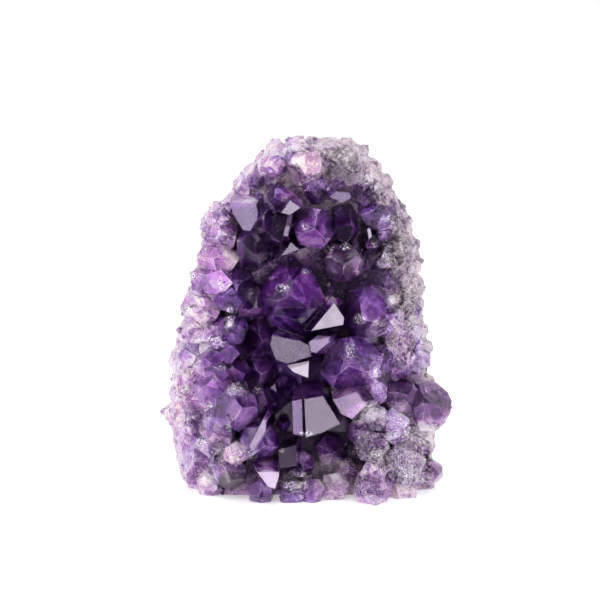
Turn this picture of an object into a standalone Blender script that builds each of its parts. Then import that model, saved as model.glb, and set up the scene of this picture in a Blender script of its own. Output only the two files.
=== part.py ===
"""An amethyst cluster that stands on a sawn base: a curved piece of geode wall whose hollow side is
lined with purple quartz crystals. The rind of grey-green rock behind and the crystal crust in front
are two solids. Every crystal is a six-sided rod with a six-faced point, and the crystals that grew
into each other are joined with the layer of massive quartz that they stand on."""

import math
import random
from dataclasses import dataclass

import bmesh
import bpy
import numpy as np
from mathutils import Matrix, Vector, noise

MM = 0.001

# The whole piece: its height, and how far it reaches each way at the foot
HEIGHT = 112.5
FOOT_BACK = 31.0
TOP_BACK = 21.0
TOP_ROUNDING = 18.0
WIDEST_DEPTH = 7.0
SAW_ALLOWANCE = 6.0

# Left and right edges of the massive quartz and rock at chosen heights
EDGE_HEIGHTS = (-8.0, 4.0, 18.0, 30.0, 46.0, 62.0, 76.0, 87.0, 96.0, 104.0, 112.5)
LEFT_EDGE = (-39.0, -42.0, -44.5, -45.5, -40.5, -38.5, -35.5, -32.5, -27.0, -21.0, -11.0)
RIGHT_EDGE = (39.0, 40.0, 40.5, 39.5, 38.0, 36.5, 34.5, 32.0, 28.5, 23.5, 14.0)

# Front of the massive quartz, from which the crystals stand out, at chosen heights
FRONT_HEIGHTS = (0.0, 40.0, 80.0, 110.0)
FRONT_DEPTHS = (-15.5, -10.0, -2.0, 3.5)

# Hollows in that front, the dark channel and the one above the toes: middle across, middle height,
# half width, half height and depth
FRONT_HOLLOWS = ((-14.0, 44.0, 10.0, 24.0, 7.0), (5.0, 16.0, 15.0, 9.0, 5.0))

# Roundness of the plan: at 1 a side is a circle's quarter, and below 1 it is fuller
SIDE_FULLNESS = 0.8
BACK_FULLNESS = 0.85
FRONT_FULLNESS = 0.55
DOME_FULLNESS = 0.9
DOME_LEAST_DEPTH = 1.0
TOP_PINCH = 0.9

# Rock rind
RIND_BACK = 14.0
RIND_SIDE = 2.6
RIND_TOP = 3.5
RIND_STEP_DEPTH = 9.5
DOME_FRONT = 3.5
FIT_GAP = 0.3
ROCK_LUMP = 2.4
ROCK_LUMP_SPACING = 17.0
ROCK_LEDGE = 2.0
ROCK_LEDGE_SPACING = 7.5
CRUST_RINGS = 10
CRUST_RING_POINTS = 24
RIND_RINGS = 17
RIND_RING_POINTS = 44
DOME_RINGS = 10
DOME_RING_POINTS = 32
CUTTER_REACH = 90.0

# Quartz: a point's faces stand at this angle to the plane across the crystal, and edges shorter than
# this share of a crystal's radius are closed up
POINT_FACE_ANGLE = math.radians(51.8)
SIDES = 6
SLIVER = 0.02

# A crystal's own irregularity, as shares of its radius: how far each side stands out, how far every
# second point face is moved out, and how far any of them wanders
SIDE_REACH = (0.9, 1.08)
SMALL_FACE_SHIFT = (0.204, 0.442)
FACE_WANDER = 0.1

# A broken crystal: number of break faces, their slope and how far below the tip they lie
BREAKS = 4
BREAK_SLOPE = (0.15, 0.75)
BREAK_DEPTH = (0.35, 0.6)

# The round blank that a crystal is cut from, as shares of its radius
BLANK_RADIUS = 1.3
BLANK_ABOVE_TIP = 0.2
BLANK_SEGMENTS = 12

# The line of sight along which the crystals are placed
SIGHT_TILT = math.radians(9.0)
SIGHT_DISTANCE = 800.0
EYE_ACROSS = -2.7
EYE_UP = 61.8
FRONT_FOOT_DROP = 4.2
RIGHT = Vector((1.0, 0.0, 0.0))
UP = Vector((0.0, math.sin(SIGHT_TILT), math.cos(SIGHT_TILT)))
TOWARDS = Vector((0.0, -math.cos(SIGHT_TILT), math.sin(SIGHT_TILT)))

# Where the large flat faces that shine look: this far above the line of sight
SHINE_RISE = math.radians(26.0)
SHINE = TOWARDS * math.cos(SHINE_RISE) + UP * math.sin(SHINE_RISE)


@dataclass(frozen=True)
class Crystal:
    """One crystal as it is seen from the front, in millimetres.

    across and up place its tip in the picture plane, depth is the tip's own Y, and lean is how much
    of its direction runs right and up there; what is left points at the viewer. face_to is the angle
    in the picture, in degrees, that its first point face looks to. bite moves that face inwards by a
    share of the radius, so that it grows at the cost of the others. A stub has lost its point."""

    name: str
    across: float
    up: float
    depth: float
    radius: float
    lean: tuple
    face_to: float = 90.0
    bite: float = 0.0
    length: float = 22.0
    stub: bool = False


@dataclass(frozen=True)
class Mirror:
    """A crystal that is known by one large face, which looks along SHINE, in millimetres.

    outline holds the face's corners in the picture plane, going round, and depth is its middle's own
    Y. drift is how much of the body's direction runs right and up there; what is left runs away from
    the viewer. The body grows wider by flare over its length."""

    name: str
    outline: tuple
    depth: float
    drift: tuple
    length: float
    flare: float


MIRRORS = (
    Mirror(
        "grey_blade",
        (
            (-25.3, 95.0), (-21.7, 89.3), (-19.3, 89.0), (-17.0, 92.7),
            (-16.7, 95.3), (-17.3, 98.0), (-25.3, 98.7),
        ),
        -12.5, (0.15, 0.3), 17, 0.35,
    ),
    Mirror(
        "white_kite", ((-9.0, 95.0), (-6.0, 94.3), (-2.7, 96.7), (-6.0, 99.3)),
        -14.5, (-0.1, 0.2), 16, 0.5,
    ),
    Mirror(
        "kite_tail", ((-8.3, 87.3), (-6.7, 87.3), (-5.3, 94.3), (-6.7, 94.7)),
        -13.5, (0.1, 0.0), 16, 0.9,
    ),
    Mirror("white_barb", ((-9.0, 80.7), (-3.0, 82.7), (-5.7, 85.3)), -14.5, (0.1, 0.1), 17, 0.6),
    Mirror(
        "bright_lash", ((20.3, 86.0), (21.3, 87.3), (20.7, 90.0), (19.7, 89.7)),
        -13.5, (-0.1, 0.0), 15, 1.2,
    ),
    Mirror(
        "silver_lid", ((11.0, 98.3), (14.3, 99.7), (14.0, 101.7), (9.3, 102.3), (7.3, 100.3)),
        -12.5, (0.0, 0.2), 15, 0.5,
    ),
    Mirror(
        "silver_fin", ((24.0, 76.7), (27.7, 76.7), (26.7, 80.7), (24.7, 81.0), (22.3, 78.3)),
        -14.0, (0.1, 0.1), 17, 0.5,
    ),
    Mirror(
        "white_sail", ((11.7, 57.7), (12.0, 60.0), (8.7, 65.0), (1.0, 55.7)),
        -26.0, (-0.1, 0.1), 20, 0.55,
    ),
    Mirror(
        "grey_wedge",
        ((-12.7, 51.0), (-10.7, 46.0), (-7.0, 44.7), (1.3, 47.3), (1.0, 50.7), (-2.7, 52.3), (-12.0, 54.3)),
        -26.5, (0.25, 0.1), 20, 0.35,
    ),
    Mirror(
        "silver_chip", ((-5.0, 42.0), (0.0, 40.0), (0.3, 45.7), (-7.0, 44.3)),
        -28.0, (0.2, 0.2), 19, 0.6,
    ),
    Mirror(
        "lilac_chip", ((1.0, 48.7), (2.7, 48.3), (6.7, 51.7), (7.0, 53.7), (3.3, 54.3), (0.3, 52.0)),
        -27.0, (0.1, 0.0), 18, 0.6,
    ),
    Mirror(
        "pink_step", ((11.0, 28.0), (14.7, 26.3), (19.3, 31.0), (16.3, 35.3), (8.3, 32.7)),
        -27.5, (0.1, 0.2), 18, 0.5,
    ),
    Mirror(
        "slab_strip", ((-5.0, 21.3), (-1.7, 20.7), (-2.0, 33.0), (-5.3, 32.3)),
        -27.5, (0.1, 0.2), 20, 0.5,
    ),
    Mirror(
        "grey_slab", ((-0.7, 20.0), (4.7, 21.7), (10.7, 24.7), (5.0, 34.0), (-1.3, 33.0)),
        -29.0, (0.0, 0.2), 21, 0.4,
    ),
    Mirror(
        "knee_stripe",
        ((-18.3, 16.0), (-14.3, 22.3), (-14.0, 25.3), (-15.0, 26.3), (-16.7, 23.0), (-19.7, 17.0)),
        -28.0, (0.1, 0.1), 19, 0.7,
    ),
    Mirror(
        "iron_face", ((-9.3, 10.0), (-4.0, 10.7), (-4.0, 17.7), (-10.0, 16.0)),
        -21.5, (0.1, 0.2), 16, 0.4,
    ),
    Mirror(
        "toe_white", ((-13.3, 3.7), (-11.0, 3.0), (-9.7, 7.3), (-9.7, 8.7), (-17.0, 8.7)),
        -29.5, (-0.1, 0.25), 17, 0.45,
    ),
)

CROWN = (
    Crystal("rose_crown", -0.8, 106.5, -9.0, 7.0, (0.0, -0.5), 75, 0.1, 17),
    Crystal("crown_left", -12.5, 111.0, -7.0, 4.6, (-0.15, 0.0), 120, 0.2, 16),
    Crystal("crown_far_left", -18.0, 109.0, -3.0, 4.0, (-0.3, 0.2), 150, 0.0, 14),
    Crystal("crown_behind", -4.0, 119.5, 3.0, 4.2, (-0.1, 0.55), 60, 0.0, 13),
    Crystal("crown_behind_right", 4.0, 118.5, 4.0, 3.8, (0.1, 0.5), 120, 0.0, 12),
    Crystal("grey_knob", 12.5, 111.5, -1.0, 5.2, (0.1, 0.1), 45, 0.2, 14, True),
    Crystal("grey_thorn", 18.3, 118.0, 5.0, 2.6, (0.15, 0.75), 0, 0.0, 12),
    Crystal("grey_shoulder", 18.5, 106.5, -2.0, 4.8, (0.15, 0.0), 20, 0.1, 14, True),
    Crystal("grey_flank", 24.5, 100.5, 0.0, 4.2, (0.25, 0.05), 0, 0.0, 14, True),
    Crystal("brow_left", -7.5, 98.5, -8.0, 4.2, (0.3, -0.35), 100, 0.1, 15),
    Crystal("brow_blade", -3.0, 96.0, -9.0, 4.0, (0.55, -0.45), 60, 0.0, 15),
    Crystal("brow_middle", 3.5, 100.0, -9.0, 4.6, (0.1, -0.4), 90, 0.0, 16),
    Crystal("brow_right", 9.5, 101.5, -7.0, 4.3, (0.05, -0.3), 80, 0.0, 15),
    Crystal("brow_far_right", 16.5, 99.5, -6.0, 4.2, (-0.15, -0.35), 110, 0.0, 15),
)

UPPER = (
    Crystal("blade_neighbour", -17.5, 92.0, -8.0, 4.4, (0.2, -0.3), 60, 0.0, 16),
    Crystal("night_left", -14.5, 88.5, -10.0, 6.2, (0.15, -0.5), 40, 0.0, 17),
    Crystal("night_middle", -15.5, 77.5, -12.0, 8.0, (0.2, -0.55), 70, 0.0, 18),
    Crystal("night_right", -8.7, 85.0, -10.0, 6.4, (0.1, -0.5), 110, 0.0, 17),
    Crystal("upper_eye", 2.5, 90.0, -17.0, 7.6, (0.05, -0.04), 20, 0.15, 24),
    Crystal("dark_fang", 12.6, 84.5, -11.0, 4.6, (0.05, -0.7), 100, 0.0, 16),
    Crystal("dark_lid", 20.5, 94.0, -8.0, 4.6, (0.0, -0.5), 60, 0.0, 15),
    Crystal("violet_spur", 17.7, 94.3, -12.5, 4.6, (-0.72, 0.05), 80, 0.0, 15),
    Crystal("dark_nook", 19.5, 83.0, -8.0, 5.0, (-0.25, -0.3), 60, 0.0, 15),
    Crystal("smoky_eye", 12.0, 77.8, -17.5, 7.1, (0.0, -0.1), 330, 0.1, 24),
    Crystal("lilac_cheek", 23.5, 88.5, -10.0, 4.6, (-0.35, 0.1), 70, 0.0, 15),
    Crystal("pale_cheek", 27.0, 84.0, -8.0, 4.8, (-0.4, 0.0), 30, 0.0, 15),
    Crystal("grey_cheek", 29.0, 92.0, -4.0, 4.2, (-0.2, 0.05), 50, 0.0, 14, True),
    Crystal("grey_jaw", 30.5, 78.0, -6.0, 5.0, (-0.2, 0.0), 30, 0.0, 15, True),
    Crystal("grey_neck", 33.0, 70.5, -5.0, 4.6, (-0.15, 0.0), 10, 0.0, 15, True),
)

LEFT_BANK = (
    Crystal("bank_1", -26.0, 93.5, -6.0, 4.0, (0.45, 0.0), 60, 0.0, 14),
    Crystal("bank_2", -24.0, 87.0, -8.0, 4.8, (0.6, -0.1), 110, 0.0, 15),
    Crystal("bank_3", -23.5, 78.5, -9.0, 5.2, (0.65, -0.15), 80, 0.0, 16),
    Crystal("bank_4", -25.0, 71.5, -10.0, 5.8, (0.62, -0.1), 60, 0.0, 17),
    Crystal("bank_5", -29.5, 61.5, -9.0, 4.8, (0.68, -0.2), 100, 0.0, 15),
    Crystal("bank_6", -33.5, 55.5, -7.0, 4.5, (0.6, 0.0), 80, 0.0, 13),
    Crystal("grey_leaf", -18.5, 75.0, -10.0, 5.4, (0.55, 0.35), 150, 0.3, 18),
    Crystal("inner_1", -21.8, 65.0, -13.0, 4.8, (0.55, -0.1), 70, 0.0, 17),
    Crystal("inner_2", -20.5, 56.0, -13.5, 5.2, (0.6, 0.0), 100, 0.0, 18),
    Crystal("inner_3", -22.5, 48.0, -14.0, 4.8, (0.55, -0.1), 60, 0.0, 17),
    Crystal("inner_4", -21.0, 41.0, -13.5, 4.8, (0.5, -0.1), 90, 0.0, 16),
    Crystal("striped_block", -27.5, 54.5, -12.0, 4.7, (0.45, 0.0), 0, 0.0, 16, True),
    Crystal("sparkle_left", -28.0, 46.5, -14.5, 5.2, (0.4, 0.15), 80, 0.0, 17, True),
    Crystal("plum_dome", -26.5, 40.5, -15.5, 5.8, (0.45, -0.15), 70, 0.0, 18),
    Crystal("magenta_point", -26.3, 33.5, -18.5, 6.4, (0.5, -0.2), 75, 0.1, 19),
    Crystal("lilac_step", -27.0, 25.0, -19.0, 5.2, (0.4, -0.15), 60, 0.15, 17),
    Crystal("lilac_foot", -26.0, 19.5, -21.0, 4.8, (0.4, -0.2), 110, 0.0, 16),
    Crystal("pale_ear_1", -37.5, 47.0, -6.0, 4.5, (0.35, 0.0), 80, 0.0, 13),
    Crystal("pale_ear_2", -38.0, 38.5, -8.0, 4.8, (0.3, 0.1), 60, 0.0, 14),
    Crystal("rosy_ear_1", -39.5, 30.5, -8.0, 5.2, (0.1, 0.0), 100, 0.0, 14, True),
    Crystal("rosy_ear_2", -37.0, 22.0, -11.0, 5.0, (0.15, 0.0), 80, 0.0, 15, True),
    Crystal("lilac_ear", -33.0, 32.0, -13.0, 5.2, (0.35, 0.0), 90, 0.0, 15),
)

HEART = (
    Crystal("great_eye", -6.0, 67.3, -21.5, 11.2, (-0.04, 0.0), 25, 0.05, 26),
    Crystal("plum_heart", -2.2, 58.0, -22.5, 9.0, (0.05, -0.2), 100, 0.1, 24),
    Crystal("heart_crumb_1", -6.5, 52.5, -16.0, 3.8, (-0.2, -0.3), 80, 0.0, 15),
    Crystal("heart_crumb_2", 9.5, 64.0, -15.5, 3.6, (0.1, 0.1), 90, 0.0, 15),
    Crystal("heart_crumb_3", 6.0, 64.5, -14.0, 3.2, (-0.2, 0.1), 40, 0.0, 14),
    Crystal("right_giant", 18.2, 59.4, -22.0, 9.6, (-0.2, -0.15), 285, 0.0, 26),
    Crystal("giant_back", 25.0, 63.0, -14.0, 5.6, (-0.2, 0.1), 30, 0.0, 18),
    Crystal("lower_giant", 13.6, 43.8, -26.5, 10.9, (-0.05, 0.0), 40, 0.05, 28),
    Crystal("lilac_ridge", 22.0, 33.0, -21.5, 5.4, (0.05, -0.3), 60, 0.0, 18),
    Crystal("channel_1", -15.0, 52.0, -11.5, 7.0, (0.1, -0.2), 60, 0.0, 14),
    Crystal("channel_2", -17.0, 63.5, -12.5, 6.5, (0.2, -0.2), 30, 0.0, 14),
    Crystal("channel_3", -15.5, 41.0, -12.0, 7.0, (0.1, -0.1), 80, 0.0, 14),
    Crystal("channel_4", -14.0, 32.0, -14.0, 7.0, (0.1, 0.1), 50, 0.0, 15),
    Crystal("bottle_dark", -8.5, 32.5, -15.0, 6.0, (0.0, -0.35), 75, 0.0, 17),
)

LOWER = (
    Crystal("violet_mote", -8.3, 24.5, -15.5, 2.6, (0.0, 0.0), 90, 0.0, 12),
    Crystal("violet_shoulder", -22.0, 30.0, -25.5, 7.7, (0.2, 0.05), 185, 0.1, 22),
    Crystal("violet_knee", -14.6, 17.0, -25.5, 7.2, (0.25, -0.15), 165, 0.1, 22),
    Crystal("iron_neighbour", -1.5, 9.5, -21.5, 4.8, (0.1, -0.2), 60, 0.0, 17),
    Crystal("cellar_1", 8.0, 14.5, -19.5, 5.4, (0.1, -0.2), 80, 0.0, 16),
    Crystal("cellar_2", 13.5, 9.0, -18.0, 4.8, (0.0, 0.0), 60, 0.0, 15),
    Crystal("toe_violet", -16.5, 0.5, -27.0, 4.4, (-0.1, -0.1), 120, 0.0, 15),
    Crystal("toe_1", -6.0, 1.0, -27.5, 4.6, (-0.1, 0.05), 60, 0.0, 16, True),
    Crystal("toe_2", 1.5, 1.5, -27.0, 4.8, (0.05, 0.0), 90, 0.0, 16, True),
    Crystal("toe_3", 9.0, 3.0, -25.0, 5.4, (0.05, 0.0), 40, 0.0, 16, True),
    Crystal("coal_block", -25.5, 5.5, -24.5, 5.4, (0.0, -0.35), 60, 0.1, 16),
    Crystal("grey_lump", -26.5, 9.5, -23.0, 6.2, (0.05, 0.0), 80, 0.0, 17, True),
    Crystal("rosy_lump", -24.0, 14.0, -25.5, 4.2, (0.05, -0.1), 60, 0.0, 15, True),
    Crystal("corner_boulder", -36.5, 10.5, -14.5, 6.8, (-0.1, 0.05), 40, 0.0, 17, True),
    Crystal("corner_chip", -33.0, 2.5, -18.5, 4.6, (-0.05, -0.2), 70, 0.0, 15, True),
    Crystal("corner_base", -38.0, 2.0, -8.0, 4.4, (-0.25, 0.0), 30, 0.0, 14, True),
)

RIGHT_BANK = (
    Crystal("dark_spur", 48.2, 28.4, -12.5, 9.0, (0.74, -0.12), 95, 0.1, 24),
    Crystal("spur_shoulder", 33.5, 34.5, -16.0, 6.2, (0.3, 0.1), 100, 0.1, 18),
    Crystal("frost_1", 30.0, 53.0, -13.5, 6.2, (0.05, 0.1), 60, 0.0, 17, True),
    Crystal("frost_2", 36.5, 54.5, -9.0, 5.0, (0.25, 0.1), 20, 0.0, 15, True),
    Crystal("frost_3", 31.5, 45.0, -15.5, 6.0, (0.1, 0.0), 90, 0.0, 18, True),
    Crystal("frost_4", 38.0, 46.0, -8.0, 4.8, (0.25, 0.0), 60, 0.0, 15, True),
    Crystal("combed_block", 24.8, 46.0, -17.0, 5.2, (0.0, 0.0), 0, 0.0, 17, True),
    Crystal("grey_rib", 33.5, 63.0, -6.5, 4.8, (0.0, 0.0), 30, 0.0, 15, True),
    Crystal("pink_chip", 29.0, 65.5, -9.5, 3.6, (-0.3, 0.1), 80, 0.2, 14),
    Crystal("snow_arc_1", 29.5, 24.0, -21.0, 6.2, (0.1, 0.1), 60, 0.0, 18, True),
    Crystal("snow_arc_2", 22.5, 27.0, -21.5, 4.8, (0.0, 0.1), 90, 0.0, 16, True),
    Crystal("snow_arc_3", 16.5, 22.5, -22.0, 4.2, (-0.1, 0.1), 50, 0.0, 15, True),
    Crystal("ash_lump", 21.0, 17.0, -25.0, 6.0, (0.0, 0.0), 80, 0.0, 18, True),
    Crystal("speckled_lump", 32.5, 9.5, -23.0, 8.4, (0.1, 0.05), 60, 0.0, 20, True),
    Crystal("speckled_small", 22.0, 8.5, -26.5, 4.6, (0.0, 0.05), 30, 0.0, 16, True),
    Crystal("ice_lump", 38.0, 18.0, -13.0, 6.6, (0.2, 0.05), 20, 0.0, 17, True),
    Crystal("ice_corner", 44.0, 8.0, -11.0, 5.0, (0.5, -0.05), 60, 0.0, 16),
    Crystal("ice_base", 40.5, 1.5, -8.0, 4.6, (0.3, -0.1), 40, 0.0, 15, True),
    Crystal("toe_right", 22.8, -2.0, -29.5, 6.0, (0.1, -0.35), 100, 0.1, 17),
    Crystal("toe_far_right", 32.0, 0.0, -22.0, 5.2, (0.1, -0.1), 60, 0.0, 16, True),
)

# The broken edge: columns side by side along the rim, pointing forward and in
RIM_PITCH = 5.8
RIM_RADIUS = 3.3
RIM_LENGTH = 15.0
RIM_SETBACK = 5.2
RIM_TIP_DEPTH = -4.5
RIM_TIP_SCATTER = (-2.0, 2.5)
RIM_TURN_IN = (0.2, 0.48)
RIM_RADIUS_RANGE = (0.8, 1.25)
RIM_LENGTH_RANGE = (0.9, 1.1)
RIM_BROKEN_SHARE = 0.45
RIM_SEED = 7
SHAPE_SEED = 3

AMETHYST_COLOUR = (0.20, 0.07, 0.38, 1.0)
ROCK_COLOUR = (0.17, 0.18, 0.15, 1.0)


def sight_point(across, up, depth):
    """The point at Y = depth that the viewer sees at across and up in the picture plane."""
    spread_across = (across - EYE_ACROSS) / SIGHT_DISTANCE
    spread_up = (up - EYE_UP) / SIGHT_DISTANCE
    slope = math.cos(SIGHT_TILT) + spread_up * math.sin(SIGHT_TILT)
    away = (depth - up * math.sin(SIGHT_TILT)) / slope
    in_plane = RIGHT * (across + spread_across * away) + UP * (up + spread_up * away)
    return in_plane - TOWARDS * away


def edge_at(edge, height):
    """The rough edge of the massive quartz and rock at a height."""
    return float(np.interp(height, EDGE_HEIGHTS, edge))


def front_at(x, height):
    """Depth of the massive quartz's front, with its hollows."""
    depth = float(np.interp(height, FRONT_HEIGHTS, FRONT_DEPTHS))
    for middle, level, half_width, half_height, hollow in FRONT_HOLLOWS:
        off = ((x - middle) / half_width) ** 2 + ((height - level) / half_height) ** 2
        depth += hollow * math.exp(-off)
    return depth


def back_at(height):
    """Depth of the rind's back, which leans forward towards the top and rounds over there."""
    share = max(0.0, height / HEIGHT)
    leaning = FOOT_BACK + (TOP_BACK - FOOT_BACK) * share**2
    over = max(0.0, (height - HEIGHT + TOP_ROUNDING) / TOP_ROUNDING)
    return WIDEST_DEPTH + (leaning - WIDEST_DEPTH) * math.sqrt(1.0 - TOP_PINCH * over**2)


def lump(x, y, z):
    """How far the broken rock stands out at a point: broad lumps with sharp ledges on them."""
    spot = Vector((x, y, z))
    ledge = 0.5 - abs(noise.noise(spot / ROCK_LEDGE_SPACING)) * 2.0
    return ROCK_LUMP * noise.noise(spot / ROCK_LUMP_SPACING) + ROCK_LEDGE * min(0.0, ledge)


def outer_ring(height, segments):
    """The outline of quartz and rock together at a height, as points going round from the right."""
    left, right = edge_at(LEFT_EDGE, height), edge_at(RIGHT_EDGE, height)
    middle, half = (left + right) / 2, (right - left) / 2
    back = back_at(height)
    ring = []
    for k in range(segments):
        turn = math.tau * k / segments
        c, s = math.cos(turn), math.sin(turn)
        x = middle + half * math.copysign(abs(c) ** SIDE_FULLNESS, c)
        if s >= 0:
            y = WIDEST_DEPTH + (back - WIDEST_DEPTH) * s**BACK_FULLNESS
        else:
            y = WIDEST_DEPTH - (WIDEST_DEPTH - front_at(x, height)) * (-s) ** FRONT_FULLNESS
        push = lump(x, y, height)
        ring.append((x + push * c, y + push * s, height))
    return ring


def dome_ring(height, segments, inset):
    """The inside of the rind at a height: what the crust's back fills, less the inset."""
    left, right = edge_at(LEFT_EDGE, height), edge_at(RIGHT_EDGE, height)
    thin = RIND_SIDE + inset
    middle, half = (left + right) / 2, (right - left) / 2 - thin
    back = max(DOME_FRONT + DOME_LEAST_DEPTH, back_at(height) - RIND_BACK - inset)
    ring = []
    for k in range(segments):
        turn = math.tau * k / segments
        c, s = math.cos(turn), math.sin(turn)
        x = middle + half * math.copysign(abs(c) ** SIDE_FULLNESS, c)
        y = DOME_FRONT + (back - DOME_FRONT) * math.copysign(abs(s) ** DOME_FULLNESS, s)
        ring.append((x, y, height))
    return ring


def loft(name, rings):
    """A closed solid through rings of equal count, from the lowest to the highest."""
    bm = bmesh.new()
    loops = []
    for ring in rings:
        made = bmesh.ops.create_circle(bm, segments=len(ring), radius=1.0)["verts"]
        for vert, place in zip(made, ring):
            vert.co = Vector(place) * MM
        loops.append(made)
    bm.edges.ensure_lookup_table()
    for low, high in zip(loops, loops[1:]):
        edges = [e for ring in (low, high) for e in ring_edges(ring)]
        bmesh.ops.bridge_loops(bm, edges=edges)
    for end in (loops[0], loops[-1]):
        bmesh.ops.edgeloop_fill(bm, edges=ring_edges(end))
    bmesh.ops.triangulate(bm, faces=bm.faces)
    bmesh.ops.recalc_face_normals(bm, faces=bm.faces)
    return mesh_object(name, bm)


def ring_edges(ring):
    """The edges that join a ring's own vertices."""
    inside = set(ring)
    return list({e for v in ring for e in v.link_edges if e.other_vert(v) in inside})


def mesh_object(name, bm):
    """An object that holds what a bmesh has built."""
    mesh = bpy.data.meshes.new(name)
    bm.to_mesh(mesh)
    bm.free()
    return bpy.data.objects.new(name, mesh)


def box(name, low, high):
    """A box between two corners in millimetres."""
    bm = bmesh.new()
    bmesh.ops.create_cube(bm, size=1.0)
    low, high = Vector(low) * MM, Vector(high) * MM
    size = high - low
    bmesh.ops.scale(bm, vec=size, verts=bm.verts)
    bmesh.ops.translate(bm, vec=(low + high) / 2, verts=bm.verts)
    return mesh_object(name, bm)


def cut_flat(bm, point, normal):
    """Cuts a convex solid by a plane, drops what lies beyond it and closes the cut."""
    geometry = bm.verts[:] + bm.edges[:] + bm.faces[:]
    cut = bmesh.ops.bisect_plane(
        bm, geom=geometry, dist=1e-7, plane_co=point, plane_no=normal, clear_outer=True
    )
    edges = [e for e in cut["geom_cut"] if isinstance(e, bmesh.types.BMEdge)]
    open_edges = [e for e in edges if len(e.link_faces) < 2]
    if len(open_edges) > 2:
        bmesh.ops.edgeloop_fill(bm, edges=open_edges)


def crystal_solid(crystal, rng):
    """A crystal along Z with its tip at the origin: a rod cut by six sides and six point faces."""
    radius = crystal.radius * MM
    rim = radius * math.cos(math.pi / SIDES)
    length = crystal.length * MM
    blank = radius * BLANK_RADIUS
    bm = bmesh.new()
    bmesh.ops.create_cone(
        bm, cap_ends=True, segments=BLANK_SEGMENTS, radius1=blank, radius2=blank, depth=length
    )
    lift = radius * BLANK_ABOVE_TIP - length / 2
    bmesh.ops.translate(bm, vec=(0.0, 0.0, lift), verts=bm.verts)
    for k in range(SIDES):
        turn = math.tau * k / SIDES
        out = Vector((math.cos(turn), math.sin(turn), 0.0))
        cut_flat(bm, out * rim * rng.uniform(*SIDE_REACH), out)
    for k in range(SIDES):
        turn = math.tau * k / SIDES
        out = Vector((math.cos(turn), math.sin(turn), 0.0))
        normal = out * math.sin(POINT_FACE_ANGLE) + Vector((0, 0, math.cos(POINT_FACE_ANGLE)))
        shift = (k % 2) * rng.uniform(*SMALL_FACE_SHIFT) - rng.uniform(0.0, FACE_WANDER)
        if k == 0:
            shift = -crystal.bite
        cut_flat(bm, Vector((0.0, 0.0, shift * radius)), normal)
    if crystal.stub:
        for _ in range(BREAKS):
            turn = rng.uniform(0.0, math.tau)
            slope = rng.uniform(*BREAK_SLOPE)
            normal = Vector((math.cos(turn) * slope, math.sin(turn) * slope, 1.0)).normalized()
            cut_flat(bm, Vector((0.0, 0.0, -radius * rng.uniform(*BREAK_DEPTH))), normal)
    bmesh.ops.dissolve_degenerate(bm, dist=radius * SLIVER, edges=bm.edges)
    bmesh.ops.recalc_face_normals(bm, faces=bm.faces)
    return bm


def stand(axis, look):
    """The rotation that points Z along axis and X, as near as it can, along look."""
    axis = axis.normalized()
    first = (look - axis * look.dot(axis)).normalized()
    second = axis.cross(first)
    return Matrix((first, second, axis)).transposed().to_4x4()


def crystal_object(crystal, rng):
    """The crystal, placed on the viewer's line of sight."""
    right, up = crystal.lean
    axis = RIGHT * right + UP * up + TOWARDS * math.sqrt(1.0 - right**2 - up**2)
    angle = math.radians(crystal.face_to)
    look = RIGHT * math.cos(angle) + UP * math.sin(angle)
    bm = crystal_solid(crystal, rng)
    tip = sight_point(crystal.across, crystal.up - FRONT_FOOT_DROP, crystal.depth)
    bm.transform(Matrix.Translation(tip * MM) @ stand(axis, look))
    return mesh_object(crystal.name, bm)


def mirror_object(mirror):
    """The crystal behind a shining face: the face's own outline, and a body that runs back from it."""
    count = len(mirror.outline)
    across = sum(corner[0] for corner in mirror.outline) / count
    up = sum(corner[1] for corner in mirror.outline) / count - FRONT_FOOT_DROP
    middle = sight_point(across, up, mirror.depth)
    face = []
    for corner in mirror.outline:
        near = sight_point(corner[0], corner[1] - FRONT_FOOT_DROP, 0.0)
        ray = sight_point(corner[0], corner[1] - FRONT_FOOT_DROP, 1.0) - near
        face.append(near + ray * ((middle - near).dot(SHINE) / ray.dot(SHINE)))
    right, up = mirror.drift
    back = RIGHT * right + UP * up - TOWARDS * math.sqrt(1.0 - right**2 - up**2)
    end = [p + (p - middle) * mirror.flare + back * mirror.length for p in face]
    bm = bmesh.new()
    front, rear = [[bm.verts.new(p * MM) for p in ring] for ring in (face, end)]
    bm.faces.new(front)
    bm.faces.new(reversed(rear))
    for k in range(count):
        after = (k + 1) % count
        bm.faces.new((front[after], front[k], rear[k], rear[after]))
    bmesh.ops.recalc_face_normals(bm, faces=bm.faces)
    return mesh_object(mirror.name, bm)


def rim_places():
    """Points along the rim from the left foot over the top to the right foot, with outward turns."""
    heights = list(EDGE_HEIGHTS)
    left = [Vector((x, 0.0, z)) for x, z in zip(LEFT_EDGE, heights)]
    right = [Vector((x, 0.0, z)) for x, z in zip(RIGHT_EDGE, heights)]
    path = [p for p in left + right[::-1] if p.z > 0]
    places, walked, target = [], 0.0, RIM_PITCH / 2
    for start, end in zip(path, path[1:]):
        step = end - start
        while walked + step.length >= target:
            spot = start + step * ((target - walked) / step.length)
            outward = Vector((-step.z, 0.0, step.x)).normalized()
            places.append((spot, outward))
            target += RIM_PITCH
        walked += step.length
    return places


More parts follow.
